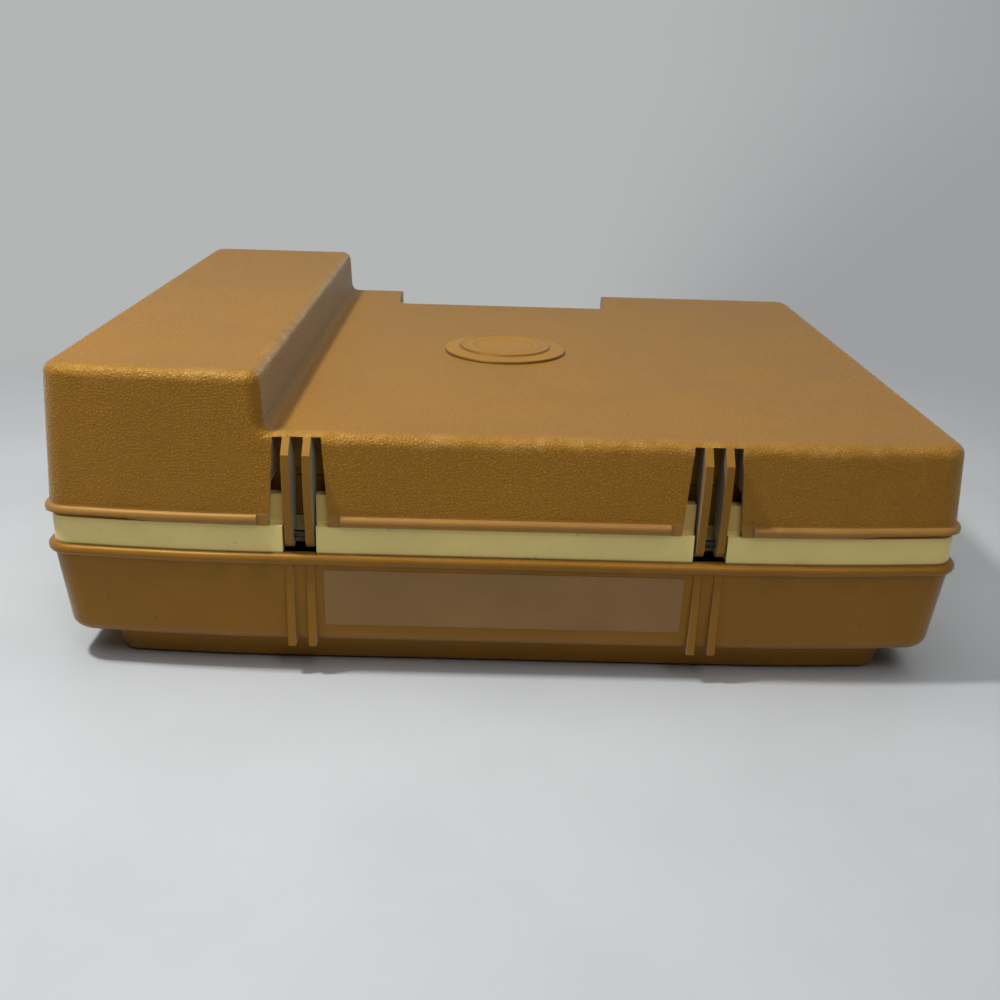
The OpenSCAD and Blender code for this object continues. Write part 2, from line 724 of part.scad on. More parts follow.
// Platter: shallow dish with a driven inner rim and a hub on the spindle
module platter() color(brown) translate([spindle_x, spindle_y, z_platter]) rotate_extrude($fn = 192) {
    bore = journal_r;
    difference() {
        union() {
            translate([rim_in_r, 0]) square([platter_wall - 1, platter_h]);
            translate([rim_in_r, 0]) square([platter_wall, platter_h - 1]);
            translate([platter_r - 1, platter_h - 1]) circle(1, $fn = 24);
            translate([bore, platter_h - platter_t]) square([rim_in_r - bore + small, platter_t]);
            translate([bore, washer_t + 0.2]) square([hub_r - bore, platter_h - washer_t - 0.2]);
            translate([bore, platter_h - platter_t - 2]) square([adapter_well_r + 2 - bore, platter_t]);
        }
        translate([0, platter_h - adapter_h + mat_t - 0.4]) square([adapter_well_r, adapter_h]);
    }
}

// Ribbed mat on the platter
module platter_mat() color(rubber_black) translate([spindle_x, spindle_y, z_mat]) rotate_extrude($fn = 192)
    difference() {
        translate([adapter_well_r + 1, 0]) square([platter_r - mat_margin - adapter_well_r - 1, mat_t]);
        for (r = [30 : 9 : platter_r - mat_margin - 5]) translate([r, mat_t - 0.7]) square([3, 1]);
    }

// Adapter for records with a wide hole: lies flush in the platter and lifts up the spindle
module record_adapter() color(cream) translate([spindle_x, spindle_y, z_record - adapter_h - 0.4])
    rotate_extrude($fn = 96) {
        bore = journal_r + run_gap;
        difference() {
            union() {
                translate([bore, 0]) square([adapter_r - bore - 1, adapter_h]);
                translate([bore, 0]) square([adapter_r - bore, adapter_h - 1]);
                translate([adapter_r - 1, adapter_h - 1]) circle(1, $fn = 24);
            }
            translate([8, adapter_h - 1]) square([6, 2]);
        }
    }

// Spindle pressed into the platter: a thick journal turns in the deck's boss, a thin pin centres the record
module spindle() color(steel) translate([spindle_x, spindle_y, z_under - spindle_boss_h + deck_t])
    rotate_extrude($fn = 64) {
        shoulder = z_record - shoulder_drop - z_under + spindle_boss_h - deck_t;
        tall = shoulder + shoulder_drop + spindle_up;
        square([journal_r, shoulder]);
        square([spindle_r, tall - spindle_r]);
        intersection() {
            translate([0, tall - spindle_r]) circle(spindle_r, $fn = 64);
            translate([0, tall - spindle_r - small]) square(spindle_r + small);
        }
    }

module spindle_washer() color(cream) translate([spindle_x, spindle_y, z_well])
    ring(hub_r - 1, journal_r + run_gap, washer_t + platter_gap);

module motor_at() translate([capstan_x, capstan_y, 0])
    for (s = [-1, 1], t = [-1, 1]) translate([s * motor_hole_x, t * motor_hole_y, 0]) children();

// Laminated core of the mains motor, with the leg that carries the field coil
module motor_stack() color(steel) translate([capstan_x, capstan_y, z_stack]) difference() {
    translate([-stack_w / 2 - leg_in - leg_w, -stack_d / 2, 0])
        cube([stack_w + leg_in + leg_w, stack_d, stack_h]);
    translate([0, 0, -cut]) cylinder(r = rotor_r + rotor_gap, h = stack_h + 2 * cut, $fn = 96);
    translate([-stack_w / 2 - leg_in, -stack_d / 2 + leg_w, -cut])
        cube([leg_in, stack_d - 2 * leg_w, stack_h + 2 * cut]);
}

// Field coil wound round the leg of the core
module motor_coil() color(copper) translate([capstan_x - stack_w / 2 - leg_in - leg_w / 2, capstan_y, 0])
    difference() {
        translate([0, stack_d / 2 - 9, z_stack + stack_h / 2]) rotate([90, 0, 0]) linear_extrude(stack_d - 18)
            plate(-leg_w / 2 - 7, leg_w / 2 + 7, -stack_h / 2 - 7, stack_h / 2 + 7, 4);
        translate([-leg_w / 2, -stack_d / 2, z_stack]) cube([leg_w, stack_d, stack_h]);
    }

// Bearing bridges over and under the core, and the plate that hangs the motor from the deck
module motor_brackets() color(steel) translate([capstan_x, capstan_y, 0]) {
    difference() {
        union() {
            translate([0, 0, z_stack + stack_h]) linear_extrude(6) plate(-8, 8, -22, 22, 4);
            translate([0, 0, z_under - motor_plate_drop]) linear_extrude(motor_plate_t)
                plate(-motor_hole_x - 6, motor_hole_x + 6, -motor_hole_y - 6, motor_hole_y + 6, 5);
        }
        cylinder(r = motor_shaft_r + run_gap, h = z_band, $fn = 32);
        for (s = [-1, 1], t = [-1, 1]) translate([s * motor_hole_x, t * motor_hole_y, 0])
            cylinder(r = motor_screw_r + 0.2, h = z_band, $fn = 24);
    }
    difference() {
        translate([0, 0, z_stack - 6]) linear_extrude(6) plate(-8, 8, -22, 22, 4);
        cylinder(r = motor_shaft_r + run_gap, h = z_band, $fn = 32);
    }
}

// Rubber grommets between motor plate and deck
module motor_grommets() color(rubber_black) motor_at()
    translate([0, 0, z_under - motor_plate_drop + motor_plate_t])
        ring(4, motor_screw_r + 0.1, motor_plate_drop - motor_plate_t);

// Screws that carry the motor
module motor_screws() color(steel) motor_at() translate([0, 0, z_under - motor_plate_drop - 2]) {
    cylinder(r = 3, h = 2, $fn = 32);
    cylinder(r = motor_screw_r, h = 2 + motor_plate_drop + deck_t - well_depth, $fn = 24);
}

// Rotor on its shaft
module motor_rotor() color(steel) translate([capstan_x, capstan_y, z_stack]) {
    translate([0, 0, 0.5]) cylinder(r = rotor_r, h = stack_h - 1, $fn = 96);
    translate([0, 0, -9]) cylinder(r = motor_shaft_r, h = z_idler + idler_t - z_stack + 9, $fn = 32);
}

// Stepped brass capstan: one step for each speed
module capstan() color(brass) translate([capstan_x, capstan_y, 0]) difference() {
    union() {
        translate([0, 0, z_idler - 0.5]) cylinder(r = capstan_r, h = idler_t + 0.8, $fn = 48);
        translate([0, 0, z_idler - 6.5]) cylinder(r = capstan_r * fast_ratio, h = 6, $fn = 48);
    }
    translate([0, 0, z_idler - 8]) cylinder(r = motor_shaft_r, h = 20, $fn = 32);
}

// Lever above the deck that carries the idler
module idler_arm() color(steel) translate([post_x, post_y, z_lever]) rotate(idler_angle) difference() {
    union() {
        translate([0, -3.5, 0]) cube([idler_arm_len, 7, lever_t]);
        cylinder(r = 5, h = lever_t, $fn = 48);
        translate([idler_arm_len, 0, 0]) cylinder(r = 3.5, h = lever_t, $fn = 48);
    }
    translate([0, 0, -cut]) cylinder(r = idler_shaft_r, h = 4, $fn = 32);
    translate([idler_arm_len, 0, -cut]) cylinder(r = idler_axle_r, h = 4, $fn = 32);
}

// Shaft that joins the two levers through the deck
module idler_shaft() color(steel) translate([post_x, post_y, z_under - free_gap - lever_t])
    cylinder(r = idler_shaft_r, h = z_lever + lever_t - z_under + free_gap + lever_t, $fn = 32);

// Long lever under the deck, pushed by the cam on the speed knob
module speed_lever() color(steel) translate([post_x, post_y, z_under - free_gap - lever_t])
    rotate(atan2(lever_dy, lever_dx)) difference() {
        union() {
            cylinder(r = 5, h = lever_t, $fn = 48);
            translate([0, -3, 0]) cube([lever_len, 6, lever_t]);
            translate([lever_len, 0, 0]) cylinder(r = 3, h = lever_t, $fn = 48);
        }
        translate([0, 0, -cut]) cylinder(r = idler_shaft_r, h = 4, $fn = 32);
    }

module idler_axle() color(steel) translate([idler_x, idler_y, z_lever])
    cylinder(r = idler_axle_r, h = z_idler + idler_t + 0.4 - z_lever, $fn = 32);

module idler_hub() color(brass) translate([idler_x, idler_y, z_idler])
    ring(idler_r - 2.5, idler_axle_r + run_gap, idler_t);

module idler_tyre() color(rubber_black) translate([idler_x, idler_y, z_idler])
    ring(idler_r, idler_r - 2.5, idler_t);

// Fixed pedestal of the tonearm, with the pivot post it turns on
module arm_post() color(cream) translate([pivot_x, pivot_y, z_deck]) {
    rotate_extrude($fn = 96)
        polygon([[0, 0], [post_r, 0], [post_r, post_h - 3], [post_r - 3, post_h], [0, post_h]]);
    cylinder(r = 4, h = post_h + 7, $fn = 48);
    translate([0, 0, -deck_t - 3]) cylinder(r = 5, h = deck_t + 3 + small, $fn = 48);
}

// Turret that swings over the pedestal and holds the tonearm between its cheeks
module arm_turret() color(tan) translate([pivot_x, pivot_y, z_turret]) difference() {
    union() {
        cylinder(r = turret_r, h = 4, $fn = 96);
        intersection() {
            cylinder(r = turret_r, h = turret_h, $fn = 96);
            for (s = [-1, 1]) translate([s * (wand_w / 2 + free_gap + 2) - 2, -turret_r, 0])
                cube([4, 2 * turret_r, turret_h]);
        }
    }
    translate([0, 0, -cut]) cylinder(r = 4 + run_gap, h = 14, $fn = 48);
    translate([-turret_r, 0, z_wand - z_turret + wand_h / 2]) rotate([0, 90, 0])
        cylinder(r = 1.5, h = 2 * turret_r, $fn = 32);
}

module arm_pivot_pin() color(steel) translate([pivot_x - wand_w / 2 - 4, pivot_y, z_wand + wand_h / 2])
    rotate([0, 90, 0]) cylinder(r = 1.5, h = wand_w + 8, $fn = 32);

// Wand of the tonearm: tapered beam with a broad head and a finger lift
module tonearm_wand() color(tan) translate([pivot_x, pivot_y, z_wand]) difference() {
    union() {
        translate([-wand_w / 2, -arm_len + head_l / 2, 0])
            cube([wand_w, arm_len - head_l / 2 + wand_back, wand_h]);
        translate([0, -arm_len, 0]) linear_extrude(wand_h)
            plate(-head_w / 2, head_w / 2, -head_l / 2, head_l / 2, 5);
        translate([head_w / 2 - 2, -arm_len - 6, 0]) linear_extrude(2.5) plate(0, 14, 0, 10, 3);
    }
    translate([-wand_w, 0, wand_h / 2]) rotate([0, 90, 0])
        cylinder(r = 1.5 + run_gap, h = 2 * wand_w, $fn = 32);
}

// Balance weight under the back end of the wand
module counterweight() color(steel) translate([pivot_x, pivot_y, z_wand - 5]) linear_extrude(5)
    plate(-6, 6, wand_back - 11, wand_back - 1, 2);

// Ceramic pick-up cartridge under the head
module cartridge() color("#2b2723") translate([pivot_x, pivot_y - arm_len, z_wand - stylus_drop + stylus_h])
    linear_extrude(stylus_drop - stylus_h) plate(-7, 7, -11, 11, 2);

module stylus() color(steel) translate([pivot_x, pivot_y - arm_len, z_wand - stylus_drop])
    cylinder(r1 = 0.3, r2 = 1, h = stylus_h, $fn = 24);

// Saddle the tonearm lies on, open towards the turntable
module arm_rest() color(cream) translate([pivot_x, rest_y, z_deck]) {
    translate([-5, -5, 0]) linear_extrude(z_wand - z_deck - 0.1) plate(0, 10, 0, 10, 3);
    translate([wand_w / 2 + free_gap, -5, 0]) cube([3, 10, z_wand - z_deck + 5]);
    translate([0, -5, z_wand - z_deck - 4]) cube([wand_w / 2 + free_gap + 1, 10, 3.9]);
}

// Fluted control knob with a pointer ridge
module knob() difference() {
    union() {
        rotate_extrude($fn = 96) polygon([[0, 0], [knob_r, 0], [knob_r, 2], [knob_r - 1.5, 3],
            [knob_r - 2.5, knob_h], [0, knob_h]]);
        translate([-1.2, 0, 0]) cube([2.4, knob_r - 2.6, knob_h + 1]);
    }
    for (a = [0 : 20 : 340]) rotate(a) translate([knob_r - 1, 0, 3])
        cylinder(r = 1.1, h = knob_h, $fn = 24);
    translate([0, 0, -cut]) cylinder(r = knob_shaft_r, h = knob_h - 1, $fn = 48);
}
module volume_knob() color(tan) translate([volume_x, volume_y, z_deck + free_gap]) knob();
module speed_knob() color(tan) translate([speed_x, speed_y, z_deck + free_gap]) knob();

module knob_shaft(x, y, down) translate([x, y, z_under - down])
    cylinder(r = knob_shaft_r, h = down + deck_t + free_gap + knob_h - 2, $fn = 48);
module volume_shaft() color(steel) knob_shaft(volume_x, volume_y, 2);
module speed_shaft() color(steel) knob_shaft(speed_x, speed_y, 4);

// Switched volume control under the deck
module volume_control() color(steel) translate([volume_x, volume_y, z_under - control_h]) difference() {
    union() {
        cylinder(r = control_r, h = control_h, $fn = 64);
        translate([-5, -control_r - 5, 1]) cube([10, 8, 2]);
    }
    translate([0, 0, control_h - 3]) cylinder(r = knob_shaft_r + run_gap, h = 4, $fn = 48);
}

// Cam on the speed knob's shaft, beside the end of the long lever
module speed_cam() color(brass) translate([speed_x, speed_y, z_under - free_gap - 2 * lever_t])
difference() {
    union() {
        cylinder(r = cam_r, h = 2 * lever_t, $fn = 64);
        translate([-cam_off, 0, 0]) cylinder(r = cam_r - 1, h = 2 * lever_t, $fn = 64);
    }
    translate([0, 0, -cut]) cylinder(r = knob_shaft_r, h = 6, $fn = 48);
}

// Speaker: pressed frame, paper cone, dust cap and magnet
module speaker_frame() color(steel) translate([speaker_x, speaker_y, z_under]) mirror([0, 0, 1])
    rotate_extrude($fn = 128) {
        translate([cone_r + 1, 0]) square([speaker_r - cone_r - 1, 1.2]);
        polygon([[cone_r + 1, 0], [cone_r + 2.2, 0], [magnet_r + 1, basket_h], [cone_neck_r + 2, basket_h],
            [cone_neck_r + 2, basket_h - 1.2], [magnet_r, basket_h - 1.2]]);
    }

module speaker_cone() color("#3a332b") translate([speaker_x, speaker_y, z_under]) mirror([0, 0, 1])
    rotate_extrude($fn = 128) polygon([[cone_r + 0.5, 0.1], [cone_r - 4, 0.1], [cone_r - 5, 1.2],
        [cone_neck_r, cone_h],
        [cone_neck_r + 0.8, cone_h + 0.8], [cone_r - 4, 2], [cone_r - 1, 1.2], [cone_r + 0.1, 0.8]]);

module speaker_dust_cap() color("#2a251f") translate([speaker_x, speaker_y, z_under]) mirror([0, 0, 1])
    rotate_extrude($fn = 64) polygon([[0, cone_h - 4], [cone_neck_r - 3, cone_h - 2.5], [cone_neck_r, cone_h],
        [cone_neck_r, cone_h + 0.6], [0, cone_h + 0.6]]);

module speaker_magnet() color(steel) translate([speaker_x, speaker_y, z_under - basket_h - magnet_h])
    cylinder(r = magnet_r, h = magnet_h, $fn = 96);

module speaker_screws() color(steel) translate([speaker_x, speaker_y, z_under - 1.2])
    for (a = [45 : 90 : 315]) rotate(a) translate([speaker_r - 3, 0, 0]) mirror([0, 0, 1])
        cylinder(r = 2, h = 1.5, $fn = 24);

// Amplifier board on the tub's standoffs
module circuit_board() color(board_green)
    translate([board_x - board_w / 2, board_y - board_d / 2, z_board])
    cube([board_w, board_d, board_t]);

// Capacitors, resistors and the output transistor with its cooling fin
module board_parts() translate([board_x, board_y, z_board + board_t]) {
    color("#2d3c66") for (i = [0 : 2]) translate([-32 + i * 16, 12, 0])
        cylinder(r = 5, h = 12 + 2 * i, $fn = 48);
    color("#8b6a3f") for (i = [0 : 5]) translate([-36 + i * 9, -8, 1.2]) rotate([90, 0, 0])
        cylinder(r = 1.2, h = 8, $fn = 24);
    color(steel) translate([22, -10, 0]) cube([1.5, 26, 18]);
    color("#1d1d1d") translate([24, 0, 4]) cube([4, 10, 10]);
}

base_tub();
rubber_feet();
case_screws();
cord_bush();
deck();
carry_handle();
hinge_pins();
lid_shell();
lid_emblem();
hinge_arms_left();
hinge_arms_right();
platter();
platter_mat();
record_adapter();
spindle();
spindle_washer();
motor_stack();
motor_coil();
motor_brackets();
motor_grommets();
motor_screws();
motor_rotor();
capstan();
idler_arm();
idler_shaft();
speed_lever();
idler_hub();
idler_tyre();
idler_axle();
arm_post();
arm_turret();
arm_pivot_pin();
tonearm_wand();
counterweight();
cartridge();
stylus();
arm_rest();
volume_knob();
volume_shaft();
volume_control();
speed_knob();
speed_shaft();
speed_cam();
speaker_frame();
speaker_cone();
speaker_dust_cap();
speaker_magnet();
speaker_screws();
circuit_board();
board_parts();
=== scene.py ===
import math

import bmesh
import bpy
import numpy as np
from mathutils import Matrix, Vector


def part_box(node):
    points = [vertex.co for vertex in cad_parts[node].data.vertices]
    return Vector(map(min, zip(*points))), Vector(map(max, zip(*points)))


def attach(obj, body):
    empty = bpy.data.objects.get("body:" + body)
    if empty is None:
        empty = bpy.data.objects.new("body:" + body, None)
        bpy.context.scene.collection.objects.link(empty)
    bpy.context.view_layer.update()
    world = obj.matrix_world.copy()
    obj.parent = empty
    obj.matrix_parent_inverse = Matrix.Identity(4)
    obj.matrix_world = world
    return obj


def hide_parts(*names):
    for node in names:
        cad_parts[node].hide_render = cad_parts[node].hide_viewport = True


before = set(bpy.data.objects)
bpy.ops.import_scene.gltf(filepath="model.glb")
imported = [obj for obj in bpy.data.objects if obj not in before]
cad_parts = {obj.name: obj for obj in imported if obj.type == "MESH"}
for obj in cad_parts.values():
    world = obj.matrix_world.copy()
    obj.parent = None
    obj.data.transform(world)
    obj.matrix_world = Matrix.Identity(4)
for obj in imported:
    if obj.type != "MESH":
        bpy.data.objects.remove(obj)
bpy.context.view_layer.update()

# The view. The camera looks at the back of the closed player from a little above the lid,
# so the tall block over the tone arm stands on the left.
view_place = (0.00974, 0.56542, 0.22703)
view_tilt, view_roll, view_turn = 69.89, -1.71, 179.635
view_lens, view_sensor = 42.21, 36.0

bpy.context.scene.view_settings.view_transform = "Standard"
view_data = bpy.data.cameras.new("photo_view")
view_data.sensor_width = view_sensor
view_data.lens = view_lens
view = bpy.data.objects.new("photo_view", view_data)
view.location = view_place
view.rotation_euler = [math.radians(angle) for angle in (view_tilt, view_roll, view_turn)]
bpy.context.collection.objects.link(view)
bpy.context.scene.camera = view


# The table. A white sheet of board lies under the player, smooth and a little dusty, and
# its far parts fade into the even grey of the distance.
class Shade:
    """One value in a material. Arithmetic on it adds Math nodes to that material."""

    def __init__(self, tree, socket=None):
        self.tree = tree
        self.socket = socket

    def node(self, kind, settings=None, sockets=None, out=0):
        """Adds a node: its settings are set first, then its sockets get values or links."""
        made = self.tree.nodes.new("ShaderNode" + kind)
        for key, value in (settings or {}).items():
            setattr(made, key, value)
        for key, value in (sockets or {}).items():
            if isinstance(value, Shade):
                self.tree.links.new(value.socket, made.inputs[key])
            else:
                made.inputs[key].default_value = value
        return Shade(self.tree, made.outputs[out])

    def math(self, operation, first, second):
        """Adds a Math node on two values."""
        return self.node("Math", {"operation": operation}, {0: first, 1: second})

    def __add__(self, other):
        return self.math("ADD", self, other)

    def __sub__(self, other):
        return self.math("SUBTRACT", self, other)

    def __mul__(self, other):
        return self.math("MULTIPLY", self, other)

    def __truediv__(self, other):
        return self.math("DIVIDE", self, other)

    def __pow__(self, other):
        return self.math("POWER", self, other)

    def __rsub__(self, other):
        return self.math("SUBTRACT", other, self)

    def __rtruediv__(self, other):
        return self.math("DIVIDE", other, self)

    __radd__ = __add__
    __rmul__ = __mul__

    def most(self, other):
        """The larger of two values."""
        return self.math("MAXIMUM", self, other)

    def rise(self, low, high):
        """A smooth step: 0 below low, 1 above high."""
        settings = {"interpolation_type": "SMOOTHSTEP"}
        return self.node("MapRange", settings, {"Value": self, "From Min": low, "From Max": high})

    def within(self, low, high, soft):
        """1 between low and high, with edges that are soft wide."""
        return self.rise(low - soft, low) * (1.0 - self.rise(high, high + soft))

    def size(self):
        """The value without its sign: the root of its square."""
        return (self * self) ** 0.5

    def wave(self, pitch):
        """A cosine wave between 0 and 1 that comes back every pitch."""
        turned = self * (2.0 * math.pi / pitch)
        return self.node("Math", {"operation": "COSINE"}, {0: turned}) * 0.5 + 0.5

    def mix(self, first, second):
        """The colour first where this mask is 0, and second where it is 1."""
        return self.node("Mix", {"data_type": "RGBA"}, {0: self, 6: first, 7: second}, out=2)

    def axis(self, name):
        """One coordinate of a place."""
        return self.node("SeparateXYZ", sockets={"Vector": self}, out=name)

    def beside(self, centre):
        """How far a place lies along X and along Y from an upright axis through centre."""
        return self.axis("X") - float(centre[0]), self.axis("Y") - float(centre[1])

    def reach(self, centre):
        """Distance of a place from an upright axis through centre."""
        x, y = self.beside(centre)
        return (x * x + y * y) ** 0.5

    def turn(self, centre):
        """The turn of a place about an upright axis through centre, in radians."""
        x, y = self.beside(centre)
        return self.math("ARCTAN2", y, x)

    def noise(self, size, detail=3.0, rough=0.55):
        """Soft noise at this place, whose features are about size metres across."""
        sockets = {"Vector": self, "Scale": 1.0 / size, "Detail": detail, "Roughness": rough}
        return self.node("TexNoise", sockets=sockets)

    def pebbles(self, size, bend=0.7, crease=0.32):
        """Flat-topped pebbles about size metres across: 1 on their tops, 0 in the creases.
        They are Voronoi cells in a place that noise has bent, and slope over the crease."""
        bent = self.node("TexNoise", sockets={"Vector": self, "Scale": bend / size}, out="Color")
        shift = {0: bent, 1: (size * bend,) * 3, 2: self}
        shifted = self.node("VectorMath", {"operation": "MULTIPLY_ADD"}, shift)
        cells = {"Vector": shifted, "Scale": 1.0 / size}
        return self.node("TexVoronoi", {"feature": "DISTANCE_TO_EDGE"}, cells).rise(0.0, crease)


def finish_on(name):
    """A new material: it, its Principled shader, and the piece's own place in metres."""
    made = bpy.data.materials.new(name)
    made.use_nodes = True
    skin = made.node_tree.nodes["Principled BSDF"]
    place = Shade(made.node_tree).node("TexCoord", out="Object")
    return made, skin, place


def feed(skin, **sockets):
    """Sets or links the sockets of a Principled shader, with _ for a space in a name."""
    for key, value in sockets.items():
        socket = skin.inputs[key.replace("_", " ")]
        if isinstance(value, Shade):
            value.tree.links.new(value.socket, socket)
        else:
            socket.default_value = value


def relief(height, depth):
    """A bump from a height between 0 and 1, depth metres deep."""
    return height.node("Bump", sockets={"Height": height, "Distance": depth})


def seen_rays(tree):
    """1 for a ray from the camera, from a reflection or through a clear piece."""
    first, second, third = (
        Shade(tree).node("LightPath", out=f"Is {kind} Ray")
        for kind in ("Camera", "Glossy", "Transmission")
    )
    return first.most(second).most(third)


distance_dark = (0.335, 0.343, 0.352, 1.0)
distance_pale = (0.452, 0.463, 0.465, 1.0)
distance_span = (-0.45, -0.10)


def distance_grey(sideways):
    """The grey of the distance, which darkens where a direction's X part is below 0."""
    return sideways.rise(*distance_span).mix(distance_dark, distance_pale)


def grid_faces(rows, columns):
    """Quads between neighbouring points of a grid that is stored row by row."""
    first = np.arange(rows * columns).reshape(rows, columns)
    corners = (first[:-1, :-1], first[:-1, 1:], first[1:, 1:], first[1:, :-1])
    return np.stack(corners, axis=-1).reshape(-1, 4)


def new_piece(name, points, faces, finish):
    """A mesh object at the origin from arrays of points and quads, with one finish."""
    mesh = bpy.data.meshes.new(name)
    mesh.from_pydata(points.reshape(-1, 3).tolist(), [], faces.tolist())
    mesh.update()
    mesh.materials.append(finish)
    piece = bpy.data.objects.new(name, mesh)
    bpy.context.collection.objects.link(piece)
    return piece


table_half = 40.0
table_white = (0.480, 0.491, 0.500, 1.0)
table_dull = (0.450, 0.461, 0.469, 1.0)
table_fade = (0.34, 0.58)
table_patch, table_patch_span = 0.09, (0.35, 0.75)
table_matt, table_matt_drift, table_matt_patch = 0.6, 0.1, 0.02
table_grain, table_grain_depth = 0.004, 0.00005

table_finish, table_skin, table_place = finish_on("white_table")
table_reach = table_place.reach((0.0, 0.0))
table_away = table_reach.rise(*table_fade) * seen_rays(table_place.tree)
table_patches = table_place.noise(table_patch, detail=4.0).rise(*table_patch_span)
feed(
    table_skin,
    Base_Color=table_patches.mix(table_white, table_dull),
    Roughness=table_place.noise(table_matt_patch) * table_matt_drift + table_matt,
    Normal=relief(table_place.noise(table_grain), table_grain_depth),
)
table_grey = distance_grey(table_place.axis("X") / table_reach)
table_glow = table_place.node("Emission", sockets={"Color": table_grey})
table_board = Shade(table_place.tree, table_skin.outputs[0])
table_sockets = {0: table_away, 1: table_board, 2: table_glow}
table_mixed = table_place.node("MixShader", sockets=table_sockets)
table_end = table_place.tree.nodes["Material Output"].inputs["Surface"]
table_place.tree.links.new(table_mixed.socket, table_end)
across, along = np.meshgrid((-table_half, table_half), (-table_half, table_half))
table_points = np.stack((across, along, 0.0 * across), axis=-1)
table = new_piece("table", table_points, grid_faces(2, 2), table_finish)

# The light. A small round lamp hangs high on the left, so that the tall block shades a strip
# of the low top, a wide lamp hangs behind the camera, and the ceiling gives the rest.
lamps = {
    "round_lamp": {"place": (0.33, 0.22, 0.70), "size": 0.08, "watts": 4.4},
    "wide_lamp": {"place": (-0.45, 1.40, 1.60), "size": 0.80, "watts": 7.8},
}
lamp_aim = (0.0, 0.12, 0.08)
room_low = (0.01, 0.0102, 0.0105, 1.0)
room_high = (1.70, 1.74, 1.775, 1.0)
room_rise = (0.70, 1.00)

for lamp_name, lamp_set in lamps.items():
    lamp_data = bpy.data.lights.new(lamp_name, "AREA")
    lamp_data.shape = "DISK"
    lamp_data.size = lamp_set["size"]
    lamp_data.energy = lamp_set["watts"]
    lamp = bpy.data.objects.new(lamp_name, lamp_data)
    lamp.location = lamp_set["place"]
    lamp_axis = Vector(lamp_set["place"]) - Vector(lamp_aim)
    lamp.rotation_euler = lamp_axis.to_track_quat("Z", "Y").to_euler()
    lamp.visible_camera = False
    bpy.context.collection.objects.link(lamp)

room = bpy.data.worlds.new("room")
room.use_nodes = True
room_tree = room.node_tree
room_aim = Shade(room_tree).node("TexCoord", out="Generated")
room_colour = room_aim.axis("Z").rise(*room_rise).mix(room_low, room_high)
room_light = room_aim.node("Background", sockets={"Color": room_colour})
room_shown = room_aim.node("Background", sockets={"Color": distance_grey(room_aim.axis("X"))})
room_sockets = {0: seen_rays(room_tree), 1: room_light, 2: room_shown}
room_mixed = room_aim.node("MixShader", sockets=room_sockets)
room_tree.links.new(room_mixed.socket, room_tree.nodes["World Output"].inputs["Surface"])
bpy.context.scene.world = room

# The tub. The lower half of the case is one deep moulding in caramel plastic, smooth and
# satin, with a set-in plinth under its rounded foot and painted shade under its rim.
tub_colour = (0.245, 0.104, 0.0140)
tub_warmth = (1.0, 0.70, 0.20, 1.0)
tub_grain, tub_grain_depth = 0.0009, 0.00003
tub_gloss = 0.40
tub_rim_shade, tub_rim_shade_soft, tub_rim_shade_share = (0.0420, 0.0480), 0.004, 0.18
tub_rim_shade_patch, tub_rim_shade_span = 0.012, (0.3, 0.75)
tub_dark_foot, tub_dark_foot_share = (0.001, 0.007), 0.15
tub_dark_foot_patch, tub_dark_foot_span = 0.006, (0.4, 0.6)
# Dark brown of real grime, also used for painted shade.
grime_and_shade_colour = (0.045, 0.022, 0.006, 1.0)
dust_sheen, dust_rough = 0.28, 0.35
dust_tint = (0.84, 1.0, 0.82, 1.0)
drift_size, drift_span, drift_tones, drift_dull = 0.05, (0.3, 0.7), (0.94, 1.06), 0.05
rub_size, rub_span, rub_share, rub_tone, rub_dull = 0.02, (0.56, 0.74), 0.14, 1.45, 0.07
speck_size, speck_span, speck_share, speck_tone = 0.0042, (0.70, 0.74), 0.35, 0.35
crease_shade_share, crease_shade_tone = 0.45, 0.60
pebble_start, pebble_part, pebble_fine = 0.0008, 0.8, 0.4
top_polish = 0.06
merge_gap = 1e-6
flat_angle = math.radians(0.5)
smooth_angle = math.radians(28.0)
bevel_steps = 3


def shade(colour, factor=1.0):
    """A colour made lighter or darker, with its alpha."""
    return tuple(min(1.0, part * factor) for part in colour) + (1.0,)


def moulded(
    name, colour, warmth, grain, depth, gloss, grained_from=None, print_on=None, wear_and_shade=None
):
    """Injection-moulded plastic. Its colour drifts a little, has dark specks and paler rubbed
    patches, and the tool's grain is soft noise, or above a height that is given, pebbles with
    painted shade in their creases. print_on and the wear argument take a place and a colour,
    and give the colour with print on it, and with the wear, grime, painted shade and painted
    highlights that each piece has."""
    made, skin, place = finish_on(name)
    drift = place.noise(drift_size, detail=4.0).rise(*drift_span)
    speck = place.noise(speck_size, detail=2.0).rise(*speck_span)
    rubbed = place.noise(rub_size, detail=5.0, rough=0.7).rise(*rub_span)
    body = drift.mix(*(shade(colour, tone) for tone in drift_tones))
    body = (rubbed * rub_share).mix(body, shade(colour, rub_tone))
    if grained_from:
        plain = 1.0 - place.axis("Z").rise(grained_from, grained_from + pebble_start)
        tops = place.pebbles(grain).most(plain)
        # Painted shade darkens the creases between the pebbles.
        body = ((1.0 - tops) * crease_shade_share).mix(body, shade(colour, crease_shade_tone))
        fine = place.noise(grain * pebble_fine, detail=2.0)
        height = tops * pebble_part + fine * (1.0 - pebble_part)
    else:
        height = place.noise(grain, detail=2.0)
    body = (speck * speck_share).mix(body, shade(colour, speck_tone))
    # The wear argument adds wear and grime, and on some pieces painted shade and painted
    # highlights.
    for change in (wear_and_shade, print_on):
        if change:
            body = change(place, body)
    feed(
        skin,
        Base_Color=body,
        Roughness=drift * drift_dull + rubbed * rub_dull - height * top_polish + gloss,
        Normal=relief(height, depth),
        Specular_Tint=warmth,
        Sheen_Weight=dust_sheen,
        Sheen_Roughness=dust_rough,
        Sheen_Tint=dust_tint,
    )
    return made


